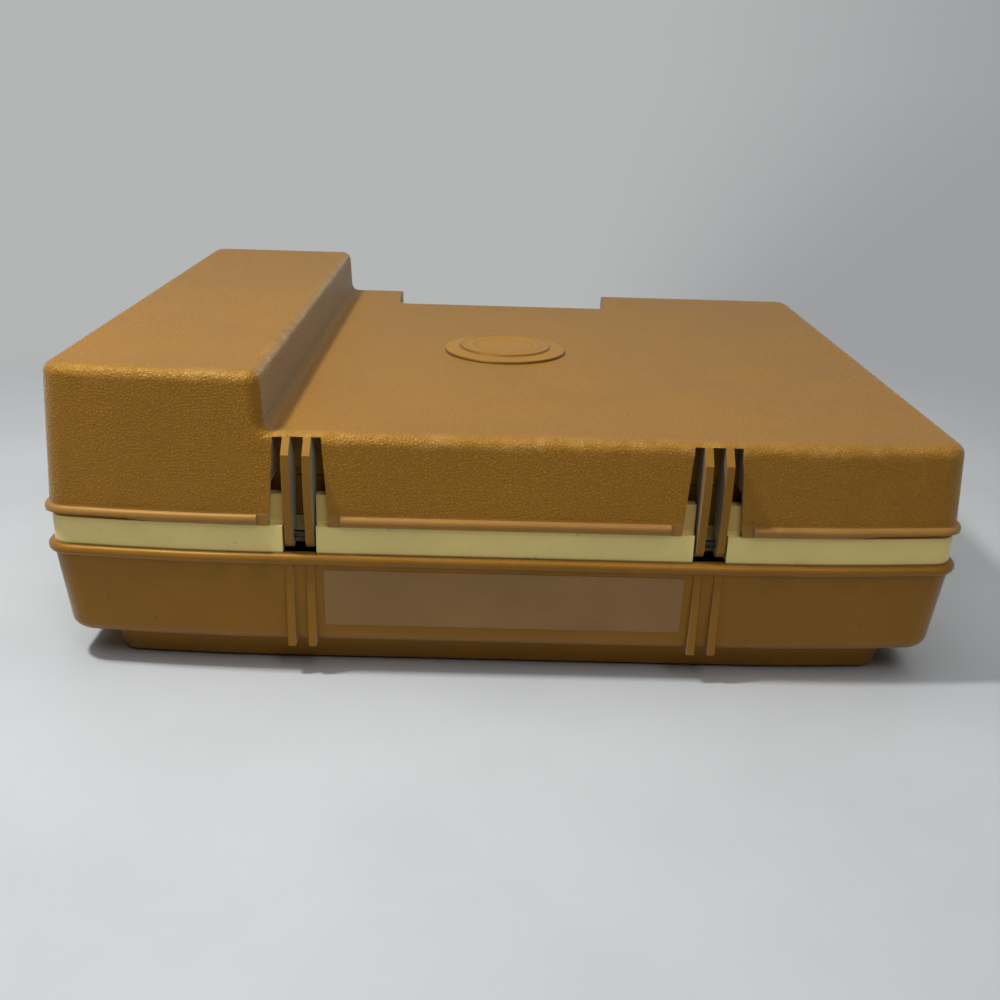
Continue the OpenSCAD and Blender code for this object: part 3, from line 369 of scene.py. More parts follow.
def smooth_copy(node, name, body, finish, bevel=0.0, reshape=None):
    """A copy of a CAD node: its loose triangles are merged, faces that turn gently are
    shaded as one, and its sharp edges are rounded by bevel metres. Where reshape is given,
    it moves the array of points first. The copy rides on the body and counts in the node's
    place."""
    copy = bmesh.new()
    copy.from_mesh(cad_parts[node].data)
    bmesh.ops.remove_doubles(copy, verts=copy.verts, dist=merge_gap)
    if bevel:
        edges = {"verts": copy.verts, "edges": copy.edges}
        bmesh.ops.dissolve_limit(copy, angle_limit=flat_angle, **edges)
    mesh = bpy.data.meshes.new(name)
    copy.to_mesh(mesh)
    copy.free()
    if reshape:
        points = np.empty(3 * len(mesh.vertices), dtype=np.float32)
        mesh.vertices.foreach_get("co", points)
        mesh.vertices.foreach_set("co", reshape(points.reshape(-1, 3)).ravel())
        mesh.update()
    if "custom_normal" in mesh.attributes:
        mesh.attributes.remove(mesh.attributes["custom_normal"])
    mesh.shade_smooth()
    mesh.set_sharp_from_angle(angle=smooth_angle)
    mesh.materials.clear()
    mesh.materials.append(finish)
    piece = bpy.data.objects.new(name, mesh)
    bpy.context.collection.objects.link(piece)
    if bevel:
        rounded = piece.modifiers.new("rounded_edges", "BEVEL")
        rounded.width = bevel
        rounded.segments = bevel_steps
        rounded.limit_method = "ANGLE"
        rounded.angle_limit = smooth_angle
        rounded.use_clamp_overlap = True
        rounded.harden_normals = True
    else:
        even = piece.modifiers.new("even_shading", "WEIGHTED_NORMAL")
        even.keep_sharp = True
    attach(piece, body)
    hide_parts(node)
    return piece


def dress(finish, *nodes):
    """Gives CAD nodes one finish."""
    for node in nodes:
        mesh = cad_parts[node].data
        mesh.materials.clear()
        mesh.materials.append(finish)


def tub_shade_and_dark_foot(place, body):
    """Painted shade lies in patches under the rim bead, and the plinth is darker in patches
    towards its foot.
    """
    height = place.axis("Z")
    # Painted shade in patches in the band under the rim bead.
    shade_patches = place.noise(tub_rim_shade_patch, detail=4.0).rise(*tub_rim_shade_span)
    shade_patches = height.within(*tub_rim_shade, tub_rim_shade_soft) * shade_patches
    # Darker in patches towards the plinth's foot.
    foot = place.noise(tub_dark_foot_patch, detail=4.0).rise(*tub_dark_foot_span)
    foot = (1.0 - height.rise(*tub_dark_foot)) * foot
    body = (shade_patches * tub_rim_shade_share).mix(body, grime_and_shade_colour)
    return (foot * tub_dark_foot_share).mix(body, grime_and_shade_colour)


tub_finish = moulded(
    "caramel_tub", tub_colour, tub_warmth, tub_grain, tub_grain_depth, tub_gloss, wear_and_shade=tub_shade_and_dark_foot
)
smooth_copy("base_tub", "tub_moulding", "case", tub_finish)

# The label place. A thin bare film with a satin face is stuck between the two pairs of ribs
# on the leaning back wall of the tub, with a paler cut edge at either end.
label_half = 0.0693
label_low, label_high = 0.0216, 0.0455
label_thick, film_shoulder = 0.00014, 0.6
film_spine = (0.4, 0.0)
label_corner, label_arc = 0.0012, 7
label_inset = 0.0007
label_colour = (0.255, 0.142, 0.062)
label_fade_size, label_fade_span, label_fade_tones = 0.03, (0.3, 0.7), (0.92, 1.08)
label_speck_size, label_speck_span = 0.0022, (0.62, 0.72)
label_speck_share, label_speck_tone = 0.25, 0.6
label_rim_far, label_rim_near, label_rim_share, label_rim_tone = 0.0016, 0.0004, 0.2, 1.35
label_gloss, label_gloss_drift = 0.30, 0.12
label_grain, label_grain_depth = 0.0016, 0.00002
wall_foot = np.array((0.1502, 0.0130))
wall_rim = np.array((0.1527, 0.0520))


def rounded_outline(half, high, corner, steps):
    """Points round a rectangle whose corners are quarter circles, in the order of a turn."""
    turn = np.linspace(0.0, 0.5 * math.pi, steps)
    arcs = [turn + quarter * 0.5 * math.pi for quarter in range(4)]
    signs = ((1, 1), (-1, 1), (-1, -1), (1, -1))
    middles = np.array([(x * (half - corner), y * (high - corner)) for x, y in signs])
    rings = [
        middle + corner * np.stack((np.cos(arc), np.sin(arc)), axis=-1)
        for middle, arc in zip(middles, arcs)
    ]
    return np.concatenate(rings)


def film_points(outline, inset, thick, slope):
    """A thin film on a leaning wall. The outline is carried through five rings: in the wall,
    near full thickness, a little inside, half way in and at the middle line. Its height runs
    up the slope, and its thickness stands square to it."""
    up = slope / np.linalg.norm(slope)
    out = np.array((up[1], -up[0]))
    shrink = np.sign(outline) * inset
    lifts = thick * np.array((-1.0, film_shoulder, 1.0, 1.0, 1.0))
    rings = np.stack((outline, outline, outline - shrink, outline * 0.5, outline * film_spine))
    depth = rings[..., 1:] * up + lifts[:, None, None] * out
    return np.concatenate((rings[..., :1], depth), axis=-1)


def closed_faces(rows, columns):
    """Quads of a grid whose last column joins its first."""
    first = np.arange(rows * columns).reshape(rows, columns)
    after = np.roll(first, -1, axis=1)
    corners = (first[:-1], after[:-1], after[1:], first[1:])
    return np.stack(corners, axis=-1).reshape(-1, 4)


def seal(piece):
    """Merges points that lie together, closes open ends and turns all faces outwards."""
    shell = bmesh.new()
    shell.from_mesh(piece.data)
    bmesh.ops.remove_doubles(shell, verts=shell.verts, dist=merge_gap)
    bmesh.ops.holes_fill(shell, edges=shell.edges)
    bmesh.ops.recalc_face_normals(shell, faces=shell.faces)
    shell.to_mesh(piece.data)
    shell.free()


label_finish, label_skin, label_place = finish_on("bare_label")
label_fade = label_place.noise(label_fade_size, detail=4.0).rise(*label_fade_span)
label_speck = label_place.noise(label_speck_size, detail=2.0).rise(*label_speck_span)
label_end = label_place.axis("X").size()
label_rim = label_end.rise(label_half - label_rim_far, label_half - label_rim_near)
label_body = label_fade.mix(*(shade(label_colour, tone) for tone in label_fade_tones))
label_body = (label_speck * label_speck_share).mix(
    label_body, shade(label_colour, label_speck_tone)
)
feed(
    label_skin,
    Base_Color=(label_rim * label_rim_share).mix(label_body, shade(label_colour, label_rim_tone)),
    Roughness=label_fade * label_gloss_drift + label_gloss,
    Normal=relief(label_place.noise(label_grain, detail=2.0), label_grain_depth),
    Specular_Tint=tub_warmth,
)
wall_slope = wall_rim - wall_foot
label_middle = 0.5 * (label_low + label_high)
label_share = (label_middle - wall_foot[1]) / wall_slope[1]
label_spot = wall_foot + label_share * wall_slope
label_rise = 0.5 * (label_high - label_low)
label_outline = rounded_outline(label_half, label_rise, label_corner, label_arc)
label_points = film_points(label_outline, label_inset, label_thick, wall_slope)
label_points = label_points + np.array((0.0, label_spot[0], label_spot[1]))
label_quads = closed_faces(*label_points.shape[:2])[:, ::-1]
label = new_piece("bare_label", label_points, label_quads, label_finish)
seal(label)
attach(label, "case")

# The feet. Four soft rubber discs are glued under the plinth, a little dusty, and the
# bush that the lead goes through is the same rubber.
rubber_colour = (0.016, 0.015, 0.014)
bloom_size, bloom_span, bloom_tones = 0.006, (0.35, 0.75), (0.8, 1.9)
dust_size, dust_span, dust_share, dust_tone = 0.0011, (0.62, 0.70), 0.25, 4.0
rubber_grain, rubber_depth, rubber_ring_part = 0.0004, 0.00006, 0.7
rubber_matt, rubber_matt_drift = 0.68, 0.15


def rubbery(name, colour, rings=None):
    """Matt rubber, felt or ferrite: a dull bloom over the colour, a fine dusty grain, and
    where a centre and a pitch are given, fine rings about that centre."""
    made, skin, place = finish_on(name)
    bloom = place.noise(bloom_size, detail=4.0).rise(*bloom_span)
    dust = place.noise(dust_size, detail=2.0).rise(*dust_span)
    height = place.noise(rubber_grain)
    if rings:
        ring = place.reach(rings[0]).wave(rings[1])
        height = height * (1.0 - rubber_ring_part) + ring * rubber_ring_part
    body = bloom.mix(*(shade(colour, tone) for tone in bloom_tones))
    feed(
        skin,
        Base_Color=(dust * dust_share).mix(body, shade(colour, dust_tone)),
        Roughness=bloom * rubber_matt_drift + rubber_matt,
        Normal=relief(height, rubber_depth),
    )
    return made


def middle(node):
    """The middle of a CAD node's box."""
    low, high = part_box(node)
    return 0.5 * (np.array(low) + np.array(high))


rubber_finish = rubbery("black_rubber", rubber_colour)
dress(rubber_finish, "rubber_feet", "cord_bush", "motor_grommets")

# The speaker. A pressed and plated steel basket is screwed under the grille, and holds a
# felted paper cone with a dust cap in front of a ferrite magnet.
cone_colour, cone_pitch = (0.050, 0.041, 0.033), 0.0024
cap_colour, cap_pitch = (0.0400, 0.0328, 0.0264), 0.0011
ferrite_colour = (0.055, 0.055, 0.058)
plated_colour, plated_rough, plated_pitch = (0.50, 0.48, 0.43), 0.32, 0.0012
screw_colour, screw_rough = (0.58, 0.57, 0.53), 0.26
drawn_stretch = (0.08, 1.0, 1.0)
line_rough, line_depth = 0.14, 0.00001
stain_size, stain_span, stain_tone, stain_rough = 0.008, (0.4, 0.8), 0.70, 0.12


def metal(name, colour, roughness, pitch=0.0004, centre=None):
    """Worked metal with a faint stain. The tool left fine lines along X, or rings about a
    centre where the piece was turned or pressed."""
    made, skin, place = finish_on(name)
    if centre is None:
        drawn = place.node("Mapping", sockets={"Vector": place, "Scale": drawn_stretch})
        lines = drawn.noise(pitch)
    else:
        lines = place.reach(centre).wave(pitch) * 0.5 + place.noise(pitch) * 0.5
    stain = place.noise(stain_size, detail=4.0).rise(*stain_span)
    feed(
        skin,
        Base_Color=stain.mix(shade(colour), shade(colour, stain_tone)),
        Metallic=1.0,
        Roughness=lines * line_rough + stain * stain_rough + roughness,
        Normal=relief(lines, line_depth),
    )
    return made


speaker_middle = middle("speaker_frame")
basket_finish = metal("plated_basket", plated_colour, plated_rough, plated_pitch, speaker_middle)
dress(basket_finish, "speaker_frame")
dress(rubbery("paper_cone", cone_colour, (speaker_middle, cone_pitch)), "speaker_cone")
dress(rubbery("felt_cap", cap_colour, (speaker_middle, cap_pitch)), "speaker_dust_cap")
dress(rubbery("ferrite_ring", ferrite_colour), "speaker_magnet")
screw_finish = metal("zinc_screws", screw_colour, screw_rough)
dress(screw_finish, "speaker_screws", "motor_screws", "case_screws")

# The motor. Riveted steel sheets make its core, enamelled copper wire is wound round one
# leg, and two pressed bridges carry the turned rotor with its brass capstan.
sheet_colour, sheet_rough, sheet_pitch = (0.30, 0.285, 0.27), 0.38, 0.0006
wire_colour, wire_rough, wire_pitch = (0.46, 0.17, 0.055), 0.28, 0.00055
bridge_colour, bridge_rough, bridge_pitch = (0.52, 0.50, 0.45), 0.34, 0.0007
steel_colour, steel_rough = (0.60, 0.60, 0.60), 0.20
brass_colour, brass_rough = (0.66, 0.45, 0.14), 0.22
turned_pitch = 0.0005
layer_gap, layer_depth, layer_metal = 0.25, 0.35, 0.9
varnish_size, varnish_span, varnish_tone, varnish_rough = 0.004, (0.35, 0.7), 0.6, 0.15


def layered(name, colour, axis, pitch, roughness):
    """Metal in layers, such as sheets in a stack or turns of wire: a wave along one axis
    makes each layer round, and dark varnish lies in between."""
    made, skin, place = finish_on(name)
    layer = place.axis(axis).wave(pitch)
    varnish = place.noise(varnish_size, detail=4.0).rise(*varnish_span)
    body = varnish.mix(shade(colour), shade(colour, varnish_tone))
    feed(
        skin,
        Base_Color=layer.mix(shade(colour, layer_gap), body),
        Metallic=layer_metal,
        Roughness=varnish * varnish_rough + roughness,
        Normal=relief(layer, pitch * layer_depth),
    )
    return made


motor_middle = middle("capstan")
dress(layered("sheet_core", sheet_colour, "Z", sheet_pitch, sheet_rough), "motor_stack")
dress(layered("wound_wire", wire_colour, "Y", wire_pitch, wire_rough), "motor_coil")
bridge_finish = metal("zinc_sheet", bridge_colour, bridge_rough, bridge_pitch)
dress(bridge_finish, "motor_brackets", "idler_arm", "speed_lever", "volume_control")
turned_finish = metal("turned_steel", steel_colour, steel_rough, turned_pitch, motor_middle)
dress(turned_finish, "motor_rotor")
brass_finish = metal("turned_brass", brass_colour, brass_rough, turned_pitch, motor_middle)
dress(brass_finish, "capstan", "speed_cam")

# The idler. A lever on an upright shaft carries a small wheel with a rubber tyre, which
# takes the capstan's turn to the inside of the platter's rim.
hub_rough, hub_pitch = 0.26, 0.0008
tyre_pitch = 0.0006
rod_colour, rod_rough = (0.56, 0.56, 0.57), 0.20

idler_middle = middle("idler_hub")
dress(metal("idler_brass", brass_colour, hub_rough, hub_pitch, idler_middle), "idler_hub")
dress(rubbery("idler_rubber", rubber_colour, (idler_middle, tyre_pitch)), "idler_tyre")
rod_finish = metal("drawn_rod", rod_colour, rod_rough)
dress(rod_finish, "idler_shaft", "idler_axle", "volume_shaft", "speed_shaft", "arm_pivot_pin")

# The amplifier. A phenolic board on four standoffs carries its copper traces, a row of
# capacitors and resistors, and a transistor on a cooling fin.
board_colour, board_rough = (0.085, 0.135, 0.045), 0.35
trace_colour, trace_pitch = (0.16, 0.24, 0.07), 0.0065
trace_wave, trace_span, trace_polish = 0.23, (0.55, 0.75), 0.1
fibre_size, fibre_rough, fibre_part, board_depth = 0.0012, 0.2, 0.3, 0.00005
blue_sleeve, brown_sleeve = (0.030, 0.047, 0.130), (0.26, 0.145, 0.050)
sleeve_border, sleeve_grain, sleeve_depth = 0.002, 0.0016, 0.00003
sleeve_gloss, sleeve_gloss_drift = 0.28, 0.2
stripe_colour = (0.30, 0.05, 0.02, 1.0)
stripe_pitch, stripe_span, stripe_share = 0.0022, (0.85, 0.95), 0.6


def traced(name):
    """A board with traces: the borders between square cells are paler lines under varnish."""
    made, skin, place = finish_on(name)
    cells = {"Vector": place, "Scale": 1.0 / trace_pitch}
    off = place.node("TexVoronoi", {"distance": "CHEBYCHEV"}, cells)
    line = off.wave(trace_wave).rise(*trace_span)
    fibre = place.noise(fibre_size)
    feed(
        skin,
        Base_Color=line.mix(shade(board_colour), shade(trace_colour)),
        Roughness=fibre * fibre_rough - line * trace_polish + board_rough,
        Normal=relief(line * (1.0 - fibre_part) + fibre * fibre_part, board_depth),
    )
    return made


def mixed_parts(name):
    """Parts of two colours, brown in one row and blue in the other, with stripes round the
    brown ones."""
    made, skin, place = finish_on(name)
    border = float(middle("board_parts")[1])
    along_board = place.axis("Y")
    other = along_board.rise(border, border + sleeve_border)
    body = other.mix(shade(brown_sleeve), shade(blue_sleeve))
    stripe = along_board.wave(stripe_pitch).rise(*stripe_span) * (1.0 - other)
    sleeve = place.noise(sleeve_grain)
    feed(
        skin,
        Base_Color=(stripe * stripe_share).mix(body, stripe_colour),
        Roughness=sleeve * sleeve_gloss_drift + sleeve_gloss,
        Normal=relief(sleeve, sleeve_depth),
    )
    return made


dress(traced("green_board"), "circuit_board")
dress(mixed_parts("sleeved_parts"), "board_parts")

# The deck. One cream moulding closes the tub, its rim is the pale band under the lid, and
# everything that turns is fixed to it. Fine dial marks are printed round the knobs.
cream_colour = (0.800, 0.640, 0.235)
cream_warmth = (1.0, 0.88, 0.55, 1.0)
cream_grain, cream_depth = 0.0008, 0.000018
cream_gloss = 0.38
deck_bevel = 0.00025
aged_colour = (0.66, 0.47, 0.14, 1.0)
aged_size, aged_span, aged_share = 0.035, (0.45, 0.8), 0.35
spot_colour = (0.20, 0.11, 0.03, 1.0)
spot_size, spot_span, spot_share = 0.0035, (0.66, 0.72), 0.07
band_foot, band_shade_rise, band_shade_share = 0.0520, 0.0009, 0.75
ear_foot, ear_soft, ear_shade_share = 0.0634, 0.002, 0.7
ear_shade_colour = (0.46, 0.27, 0.055, 1.0)
dial_ink = (0.050, 0.024, 0.010, 1.0)
dial_start, full_turn = 0.5 * math.pi, 2.0 * math.pi
dial_marks = (("volume_knob", 28.0, 280.0), ("speed_knob", 90.0, 90.0))
dial_past = (4.0, 5.0)
dial_sharp, dial_edge = 2000.0, (0.3, 0.6)
dial_inner, dial_outer, dial_soft = 0.0152, 0.0186, 0.0001
dial_face = 0.0557


def deck_age_and_shade(place, body):
    """The band yellows unevenly. The ears are painted browner, as shade under the lid with its
    warm bounce light, and painted shade lies in the corner where the band meets the tub."""
    height = place.axis("Z")
    aged = place.noise(aged_size, detail=5.0, rough=0.65).rise(*aged_span)
    spots = place.noise(spot_size).rise(*spot_span)
    # The ears are painted browner, as shade under the lid with its warm bounce light.
    ears = height.rise(ear_foot, ear_foot + ear_soft)
    # Painted shade in the corner where the band meets the tub.
    gap_shade = 1.0 - height.rise(band_foot, band_foot + band_shade_rise)
    body = (aged * aged_share).mix(body, aged_colour)
    body = (spots * spot_share).mix(body, spot_colour)
    body = (ears * ear_shade_share).mix(body, ear_shade_colour)
    return (gap_shade * band_shade_share).mix(body, grime_and_shade_colour)


def dial_print(place, body):
    """Radial ticks round each knob: narrow peaks of a wave of the turn, from the pointer's
    rest round to the end of its range."""
    on_face = place.axis("Z").rise(dial_face, dial_face + dial_soft)
    for node, pitch, sweep in dial_marks:
        centre = middle(node)
        behind = dial_start + full_turn - place.turn(centre)
        passed = behind.math("MODULO", behind, full_turn)
        tick = (passed.wave(math.radians(pitch)) ** (dial_sharp / pitch)).rise(*dial_edge)
        ring = place.reach(centre).within(dial_inner, dial_outer, dial_soft)
        swept = 1.0 - passed.rise(*(math.radians(sweep + past) for past in dial_past))
        body = (tick * ring * swept * on_face).mix(body, dial_ink)
    return body


deck_finish = moulded(
    "cream_deck",
    cream_colour,
    cream_warmth,
    cream_grain,
    cream_depth,
    cream_gloss,
    print_on=dial_print,
    wear_and_shade=deck_age_and_shade,
)
smooth_copy("deck", "deck_moulding", "case", deck_finish, deck_bevel)

# The handle. A hollow bar in darker caramel plastic lies across the hand opening, and its
# round ends are held between tub and deck.
handle_colour = (0.235, 0.098, 0.014)
handle_gloss = 0.34
held_from, held_full, held_share = 0.030, 0.0548, 0.4
held_patch, held_span = 0.008, (0.35, 0.7)


def handle_worn(place, body):
    """Hands have kept the middle of the bar clean and left grime towards its ends."""
    along_bar = place.axis("X")
    ends = (along_bar * along_bar).rise(held_from**2, held_full**2)
    ends = ends * place.noise(held_patch, detail=4.0).rise(*held_span)
    return (ends * held_share).mix(body, grime_and_shade_colour)


handle_finish = moulded(
    "dark_caramel",
    handle_colour,
    tub_warmth,
    tub_grain,
    tub_grain_depth,
    handle_gloss,
    wear_and_shade=handle_worn,
)
smooth_copy("carry_handle", "handle_bar", "case", handle_finish)

# The turntable. A brown moulded platter turns on its pressed-in steel spindle, under a
# ribbed rubber mat, with a cream adapter for records with a wide hole.
platter_colour, platter_gloss = (0.115, 0.050, 0.018), 0.36
fine_grain, fine_depth = 0.0008, 0.00002
mat_colour, mat_pitch = (0.022, 0.020, 0.018), 0.0015
adapter_gloss, adapter_bevel = 0.34, 0.0003
spindle_rough, spindle_pitch = 0.16, 0.0004

platter_middle = middle("platter")
platter_finish = moulded(
    "brown_platter", platter_colour, tub_warmth, fine_grain, fine_depth, platter_gloss
)
dress(platter_finish, "platter")
adapter_finish = moulded(
    "cream_adapter", cream_colour, cream_warmth, cream_grain, cream_depth, adapter_gloss
)
dress(rubbery("ribbed_mat", mat_colour, (platter_middle, mat_pitch)), "platter_mat")
smooth_copy("record_adapter", "lifting_adapter", "adapter", adapter_finish, adapter_bevel)
dress(adapter_finish, "spindle_washer")
spindle_finish = metal(
    "turned_spindle", steel_colour, spindle_rough, spindle_pitch, platter_middle
)
dress(spindle_finish, "spindle")

# The tone arm. A tapered wand in caramel plastic tips between the cheeks of a turret that
# swings on a cream pedestal, and carries a black cartridge and a weight.
wand_gloss, wand_bevel, cheek_bevel = 0.36, 0.0009, 0.0007
post_gloss, saddle_bevel = 0.36, 0.0006
cartridge_colour, cartridge_warmth = (0.024, 0.021, 0.018), (1.0, 1.0, 1.0, 1.0)
cartridge_grain, cartridge_gloss, cartridge_bevel = 0.0006, 0.32, 0.0005
weight_colour, weight_rough, weight_pitch = (0.42, 0.41, 0.40), 0.40, 0.0006
stylus_colour, stylus_rough, stylus_pitch = (0.62, 0.62, 0.64), 0.14, 0.0002

wand_finish = moulded("caramel_arm", tub_colour, tub_warmth, fine_grain, fine_depth, wand_gloss)
post_finish = moulded(
    "cream_post", cream_colour, cream_warmth, cream_grain, cream_depth, post_gloss
)
cartridge_finish = moulded(
    "black_shell",
    cartridge_colour,
    cartridge_warmth,
    cartridge_grain,
    fine_depth,
    cartridge_gloss,
)
smooth_copy("tonearm_wand", "arm_wand", "tonearm", wand_finish, wand_bevel)
smooth_copy("arm_turret", "arm_cheeks", "turret", wand_finish, cheek_bevel)
smooth_copy("arm_rest", "arm_saddle", "case", post_finish, saddle_bevel)
smooth_copy(
    "cartridge", "pickup_shell", "tonearm", cartridge_finish, cartridge_bevel
)
dress(post_finish, "arm_post")
dress(metal("cast_weight", weight_colour, weight_rough, weight_pitch), "counterweight")
dress(metal("stylus_tip", stylus_colour, stylus_rough, stylus_pitch), "stylus")

# The knobs. Both are fluted caps in caramel plastic, pushed on their shafts, with a pale
# line let into the pointer ridge.
knob_colour, knob_gloss = (0.205, 0.083, 0.014), 0.32
pointer_half, pointer_soft = 0.00055, 1.3
pointer_under, pointer_full = 0.0004, 0.0003


def pointed(node):
    """A print on one knob: a pale line along the top of its ridge, from its middle out."""
    centre = middle(node)
    top = float(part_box(node)[1][2])

    def line(place, body):
        """Pale where the square of the distance from the knob's middle plane is small, on
        the ridge's top."""
        side = place.axis("X") - float(centre[0])
        narrow = 1.0 - (side * side).rise(pointer_half**2, (pointer_soft * pointer_half) ** 2)
        on_top = place.axis("Z").rise(top - pointer_under, top - pointer_full)
        return (narrow * on_top).mix(body, shade(cream_colour))

    return line


for knob in ("volume_knob", "speed_knob"):
    knob_finish = moulded(
        knob + "_cap",
        knob_colour,
        tub_warmth,
        fine_grain,
        fine_depth,
        knob_gloss,
        print_on=pointed(knob),
    )
    dress(knob_finish, knob)

# The hinge pins. Two short steel rods, blackened and greased, pass through the deck's
# blocks and the round ends of the lid's arms.
pin_colour, pin_rough = (0.055, 0.050, 0.045), 0.40
dress(metal("black_pins", pin_colour, pin_rough), "hinge_pins")

# The hinge screens. A thin caramel plate stands on the deck behind each pair of ears, so
# that no one looks past the lid's arms into the case.
screen_half, screen_thick = 0.0142, 0.0005
screen_corner, screen_arc = 0.0010, 5
screen_low, screen_high = 0.0631, 0.0795
screen_inset = 0.0003
screen_face = 0.1396
screen_depth, screen_gloss = 0.00003, 0.42
upright_slope = np.array((0.0, 1.0))

screen_finish = moulded(
    "caramel_screen", tub_colour, tub_warmth, fine_grain, screen_depth, screen_gloss
)
screen_rise = 0.5 * (screen_high - screen_low)
screen_outline = rounded_outline(screen_half, screen_rise, screen_corner, screen_arc)
screen_shape = film_points(screen_outline, screen_inset, screen_thick, upright_slope)
screen_quads = closed_faces(*screen_shape.shape[:2])
screen_up = 0.5 * (screen_low + screen_high)
for side, arms in (("left", "hinge_arms_left"), ("right", "hinge_arms_right")):
    screen_place = np.array((float(middle(arms)[0]), screen_face, screen_up))
    screen = new_piece(side + "_screen", screen_shape + screen_place, screen_quads, screen_finish)
    seal(screen)
    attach(screen, "case")

# The lid. One thick moulding in caramel plastic with a leather grain from the tool, low
# over the platter and high over the tone arm, with worn edges that carry a painted highlight,
# and painted shade in patches over its bead.
lid_colour = (0.322, 0.1420, 0.0155)
lid_warmth = (1.0, 0.74, 0.22, 1.0)
lid_grain, lid_grain_depth = 0.00125, 0.00018
lid_gloss = 0.48
lid_box = np.array([list(corner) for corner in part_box("lid_shell")])
lid_low_top = 0.0995
lid_block_side = 0.0907
lid_block_foot, lid_block_slope = 0.0906, 0.0511
lid_edge = 0.0045
fillet_old, fillet_new = 0.0090, 0.0035
fillet_flat, fillet_play = 0.1472, 0.00015
window_middle, window_half, window_drop = 0.0783, 0.0105, 0.0013
worn_lit_colour = (0.46, 0.250, 0.075, 1.0)
worn_lit_in = (0.003, 0.011)
worn_lit_block = (0.0020, 0.0063)
worn_lit_block_gap = 0.003
worn_lit_low_under, worn_lit_low_over, worn_lit_low_soft = 0.004, 0.001, 0.002
worn_lit_high_under, worn_lit_high_full = 0.006, 0.002
worn_lit_patch, worn_lit_span, worn_lit_share = 0.01, (0.40, 0.66), 0.45
bead_colour = (0.300, 0.150, 0.052, 1.0)
lid_bead_top, bead_soft, bead_share = 0.0678, 0.0006, 0.6
lid_foot_shade, lid_foot_shade_share = (0.0672, 0.0720), 0.15
lid_foot_shade_patch, lid_foot_shade_span = 0.015, (0.3, 0.7)


def lid_wear_and_shade(place, body):
    """Paler wear, which also stands as a painted highlight, lies along the upper edges, where the
    distance in from the outline and down from a top are both small, and painted shade lies in
    patches over the bead at the lid's foot."""
    x, y, z = (place.axis(name) for name in "XYZ")
    half_wide, half_deep = (float(half) for half in 0.5 * (lid_box[1] - lid_box[0])[:2])
    top = float(lid_box[1][2])
    near_side = 1.0 - (half_wide - x.size()).rise(*worn_lit_in)
    near_end = 1.0 - (half_deep - y.size()).rise(*worn_lit_in)
    near_edge = near_end.most(near_side)
    from_block = x - lid_block_side
    near_block = 1.0 - (from_block * from_block).rise(*(reach**2 for reach in worn_lit_block))
    beside_block = 1.0 - x.rise(lid_block_side - worn_lit_block_gap, lid_block_side)
    low_top = z.within(lid_low_top - worn_lit_low_under, lid_low_top + worn_lit_low_over, worn_lit_low_soft)
    high_top = z.rise(top - worn_lit_high_under, top - worn_lit_high_full)
    edges = low_top * beside_block * near_edge + high_top * near_edge.most(near_block)
    patchy = place.noise(worn_lit_patch, detail=5.0, rough=0.7).rise(*worn_lit_span)
    bead = 1.0 - z.rise(lid_bead_top, lid_bead_top + bead_soft)
    # Painted shade in patches at the lid's foot, over its bead.
    shade_patches = place.noise(lid_foot_shade_patch, detail=4.0).rise(*lid_foot_shade_span)
    shade_patches = (1.0 - z.rise(*lid_foot_shade)) * shade_patches
    # Paler wear along the upper edges, which also stands as a painted highlight.
    body = (edges * patchy * worn_lit_share).mix(body, worn_lit_colour)
    body = (bead * bead_share).mix(body, bead_colour)
    return (shade_patches * lid_foot_shade_share).mix(body, grime_and_shade_colour)


def tighter_fillet(points):
    """Draws in the fillet between the block's leaning side and the low top. In the section
    across it, the centre of its arc slides towards the corner until the radius is the new
    one, and each point keeps its direction from the centre and its distance off the arc."""
    moved = points.astype(np.float64)
    up = moved[:, 2] - lid_low_top
    out = moved[:, 0] - lid_block_foot - lid_block_slope * up
    arm = np.stack((out + fillet_old, up - fillet_old), axis=-1)
    reach = np.maximum(np.linalg.norm(arm, axis=1), merge_gap)
    off = reach - fillet_old
    at_end = np.abs(moved[:, 1]) > fillet_flat
    in_window = (up < -window_drop) & (np.abs(moved[:, 0] - window_middle) < window_half)
    on_arc = (arm[:, 0] > -fillet_play) & (arm[:, 1] < fillet_play) & (off > -fillet_play)
    on_arc &= (off < fillet_play) | (at_end & (off < lid_edge + fillet_play))
    on_arc &= ~in_window
    section = (fillet_new + off)[:, None] * arm / reach[:, None]
    section = section + np.array((-fillet_new, fillet_new))
    moved[on_arc, 0] = (lid_block_foot + section[:, 0] + lid_block_slope * section[:, 1])[on_arc]
    moved[on_arc, 2] = (lid_low_top + section[:, 1])[on_arc]
    return moved.astype(np.float32)


lid_finish = moulded(
    "grained_caramel",
    lid_colour,
    lid_warmth,
    lid_grain,
    lid_grain_depth,
    lid_gloss,
    grained_from=lid_bead_top,
    wear_and_shade=lid_wear_and_shade,
)
smooth_copy("lid_shell", "lid_moulding", "lid", lid_finish, reshape=tighter_fillet)

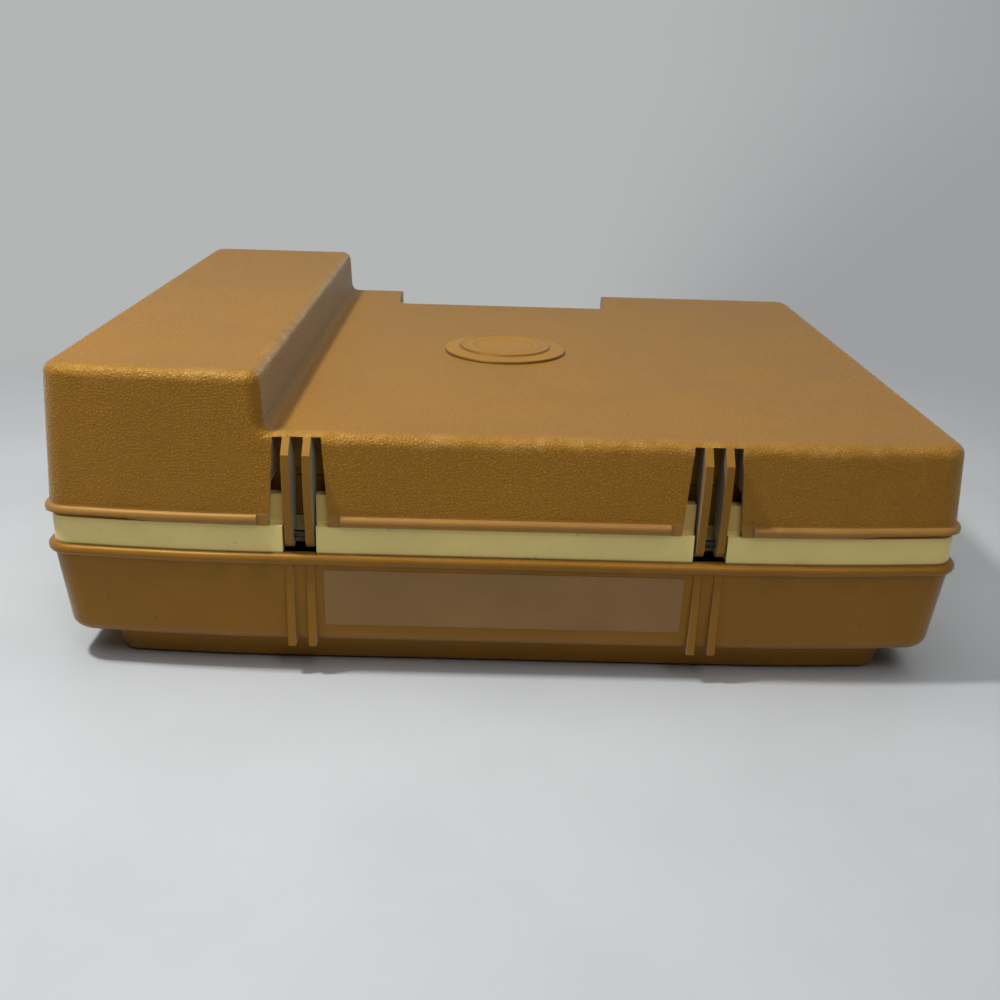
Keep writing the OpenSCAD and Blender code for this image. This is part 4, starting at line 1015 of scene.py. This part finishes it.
# The boss. A plain round disc in smooth caramel plastic is glued on the lid's low top. Its
# brim rises to a step, a low ridge runs round the middle, and painted shade lies in its
# corners.
boss_low, boss_high = (np.array(corner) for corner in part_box("lid_emblem"))
boss_middle = 0.5 * (boss_low + boss_high)
boss_trim = 0.0010
boss_radius = float(0.5 * (boss_high[0] - boss_low[0]) - boss_trim)
boss_step, boss_ridge = 0.0219, 0.0160
boss_side, boss_brim = 0.40, 0.28
boss_soft = 0.0006
boss_ridge_half, boss_ridge_high, boss_dish = 0.0010, 0.0004, 0.0004
boss_groove = 0.0022
boss_rings, boss_turns = 120, 128
boss_grain, boss_grain_depth, boss_gloss = 0.0012, 0.00004, 0.52
boss_foot = (1.3, 0.8)
boss_shade_tone = 0.30
groove_share, step_share, foot_share = 0.30, 0.70, 0.95


def soft_step(value):
    """A smooth rise from 0 to 1 while the value goes from 0 to 1."""
    part = np.clip(value, 0.0, 1.0)
    return part * part * (3.0 - 2.0 * part)


def boss_points(radius, high):
    """A turned disc. Its height is one share at the rim, one along the straight brim and the
    rest at the step, less a dish inside the step and with a ridge that falls off as a bell."""
    reach = np.linspace(radius, 0.0, boss_rings)
    height = boss_side * soft_step((radius - reach) / boss_soft)
    height = height + boss_brim * np.clip((radius - reach) / (radius - boss_step), 0.0, 1.0)
    rest = 1.0 - boss_side - boss_brim
    height = high * (height + rest * soft_step((boss_step - reach) / boss_soft))
    height = height - boss_dish * soft_step((boss_step - reach) / boss_groove)
    height = height + boss_ridge_high * np.exp(-(((reach - boss_ridge) / boss_ridge_half) ** 2))
    reach = np.concatenate(((0.0, radius), reach))
    height = np.concatenate(((0.0, 0.0), height))
    turn = np.linspace(0.0, 2.0 * math.pi, boss_turns, endpoint=False)
    spread = np.stack((np.cos(turn), np.sin(turn)), axis=-1)
    flat = reach[:, None, None] * spread
    upright = np.broadcast_to(height[:, None, None], flat.shape[:2] + (1,))
    return np.concatenate((flat, upright), axis=-1)


def boss_painted_shade(place, body):
    """Painted shade darkens the side of the disc, the foot of its step and beside its ridge."""
    radius = place.reach(boss_middle)
    foot = radius.rise(*(boss_radius - part * boss_soft for part in boss_foot))
    step = radius.within(boss_step - boss_soft, boss_step, boss_soft)
    inner, outer = (
        radius.within(groove, groove, boss_soft)
        for groove in (boss_ridge - boss_groove, boss_ridge + boss_groove)
    )
    corners = (inner + outer) * groove_share + step * step_share + foot * foot_share
    return corners.mix(body, shade(lid_colour, boss_shade_tone))


boss_finish = moulded(
    "smooth_caramel",
    lid_colour,
    lid_warmth,
    boss_grain,
    boss_grain_depth,
    boss_gloss,
    wear_and_shade=boss_painted_shade,
)
boss_shape = boss_points(boss_radius, boss_high[2] - boss_low[2])
boss_shape = boss_shape + np.array((boss_middle[0], boss_middle[1], boss_low[2]))
boss_quads = closed_faces(*boss_shape.shape[:2])
boss = new_piece("lid_boss", boss_shape, boss_quads, boss_finish)
seal(boss)
boss.data.shade_smooth()
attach(boss, "lid")
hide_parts("lid_emblem")

# The hinge arms. A pair of flat arms on each side is glued into a pocket of the lid, and
# their round ends turn on the pins.
arm_depth, arm_gloss, arm_bevel = 0.00003, 0.38, 0.0009
arm_finish = moulded("caramel_arms", tub_colour, tub_warmth, fine_grain, arm_depth, arm_gloss)
smooth_copy("hinge_arms_left", "left_arms", "lid", arm_finish, arm_bevel)
smooth_copy("hinge_arms_right", "right_arms", "lid", arm_finish, arm_bevel)
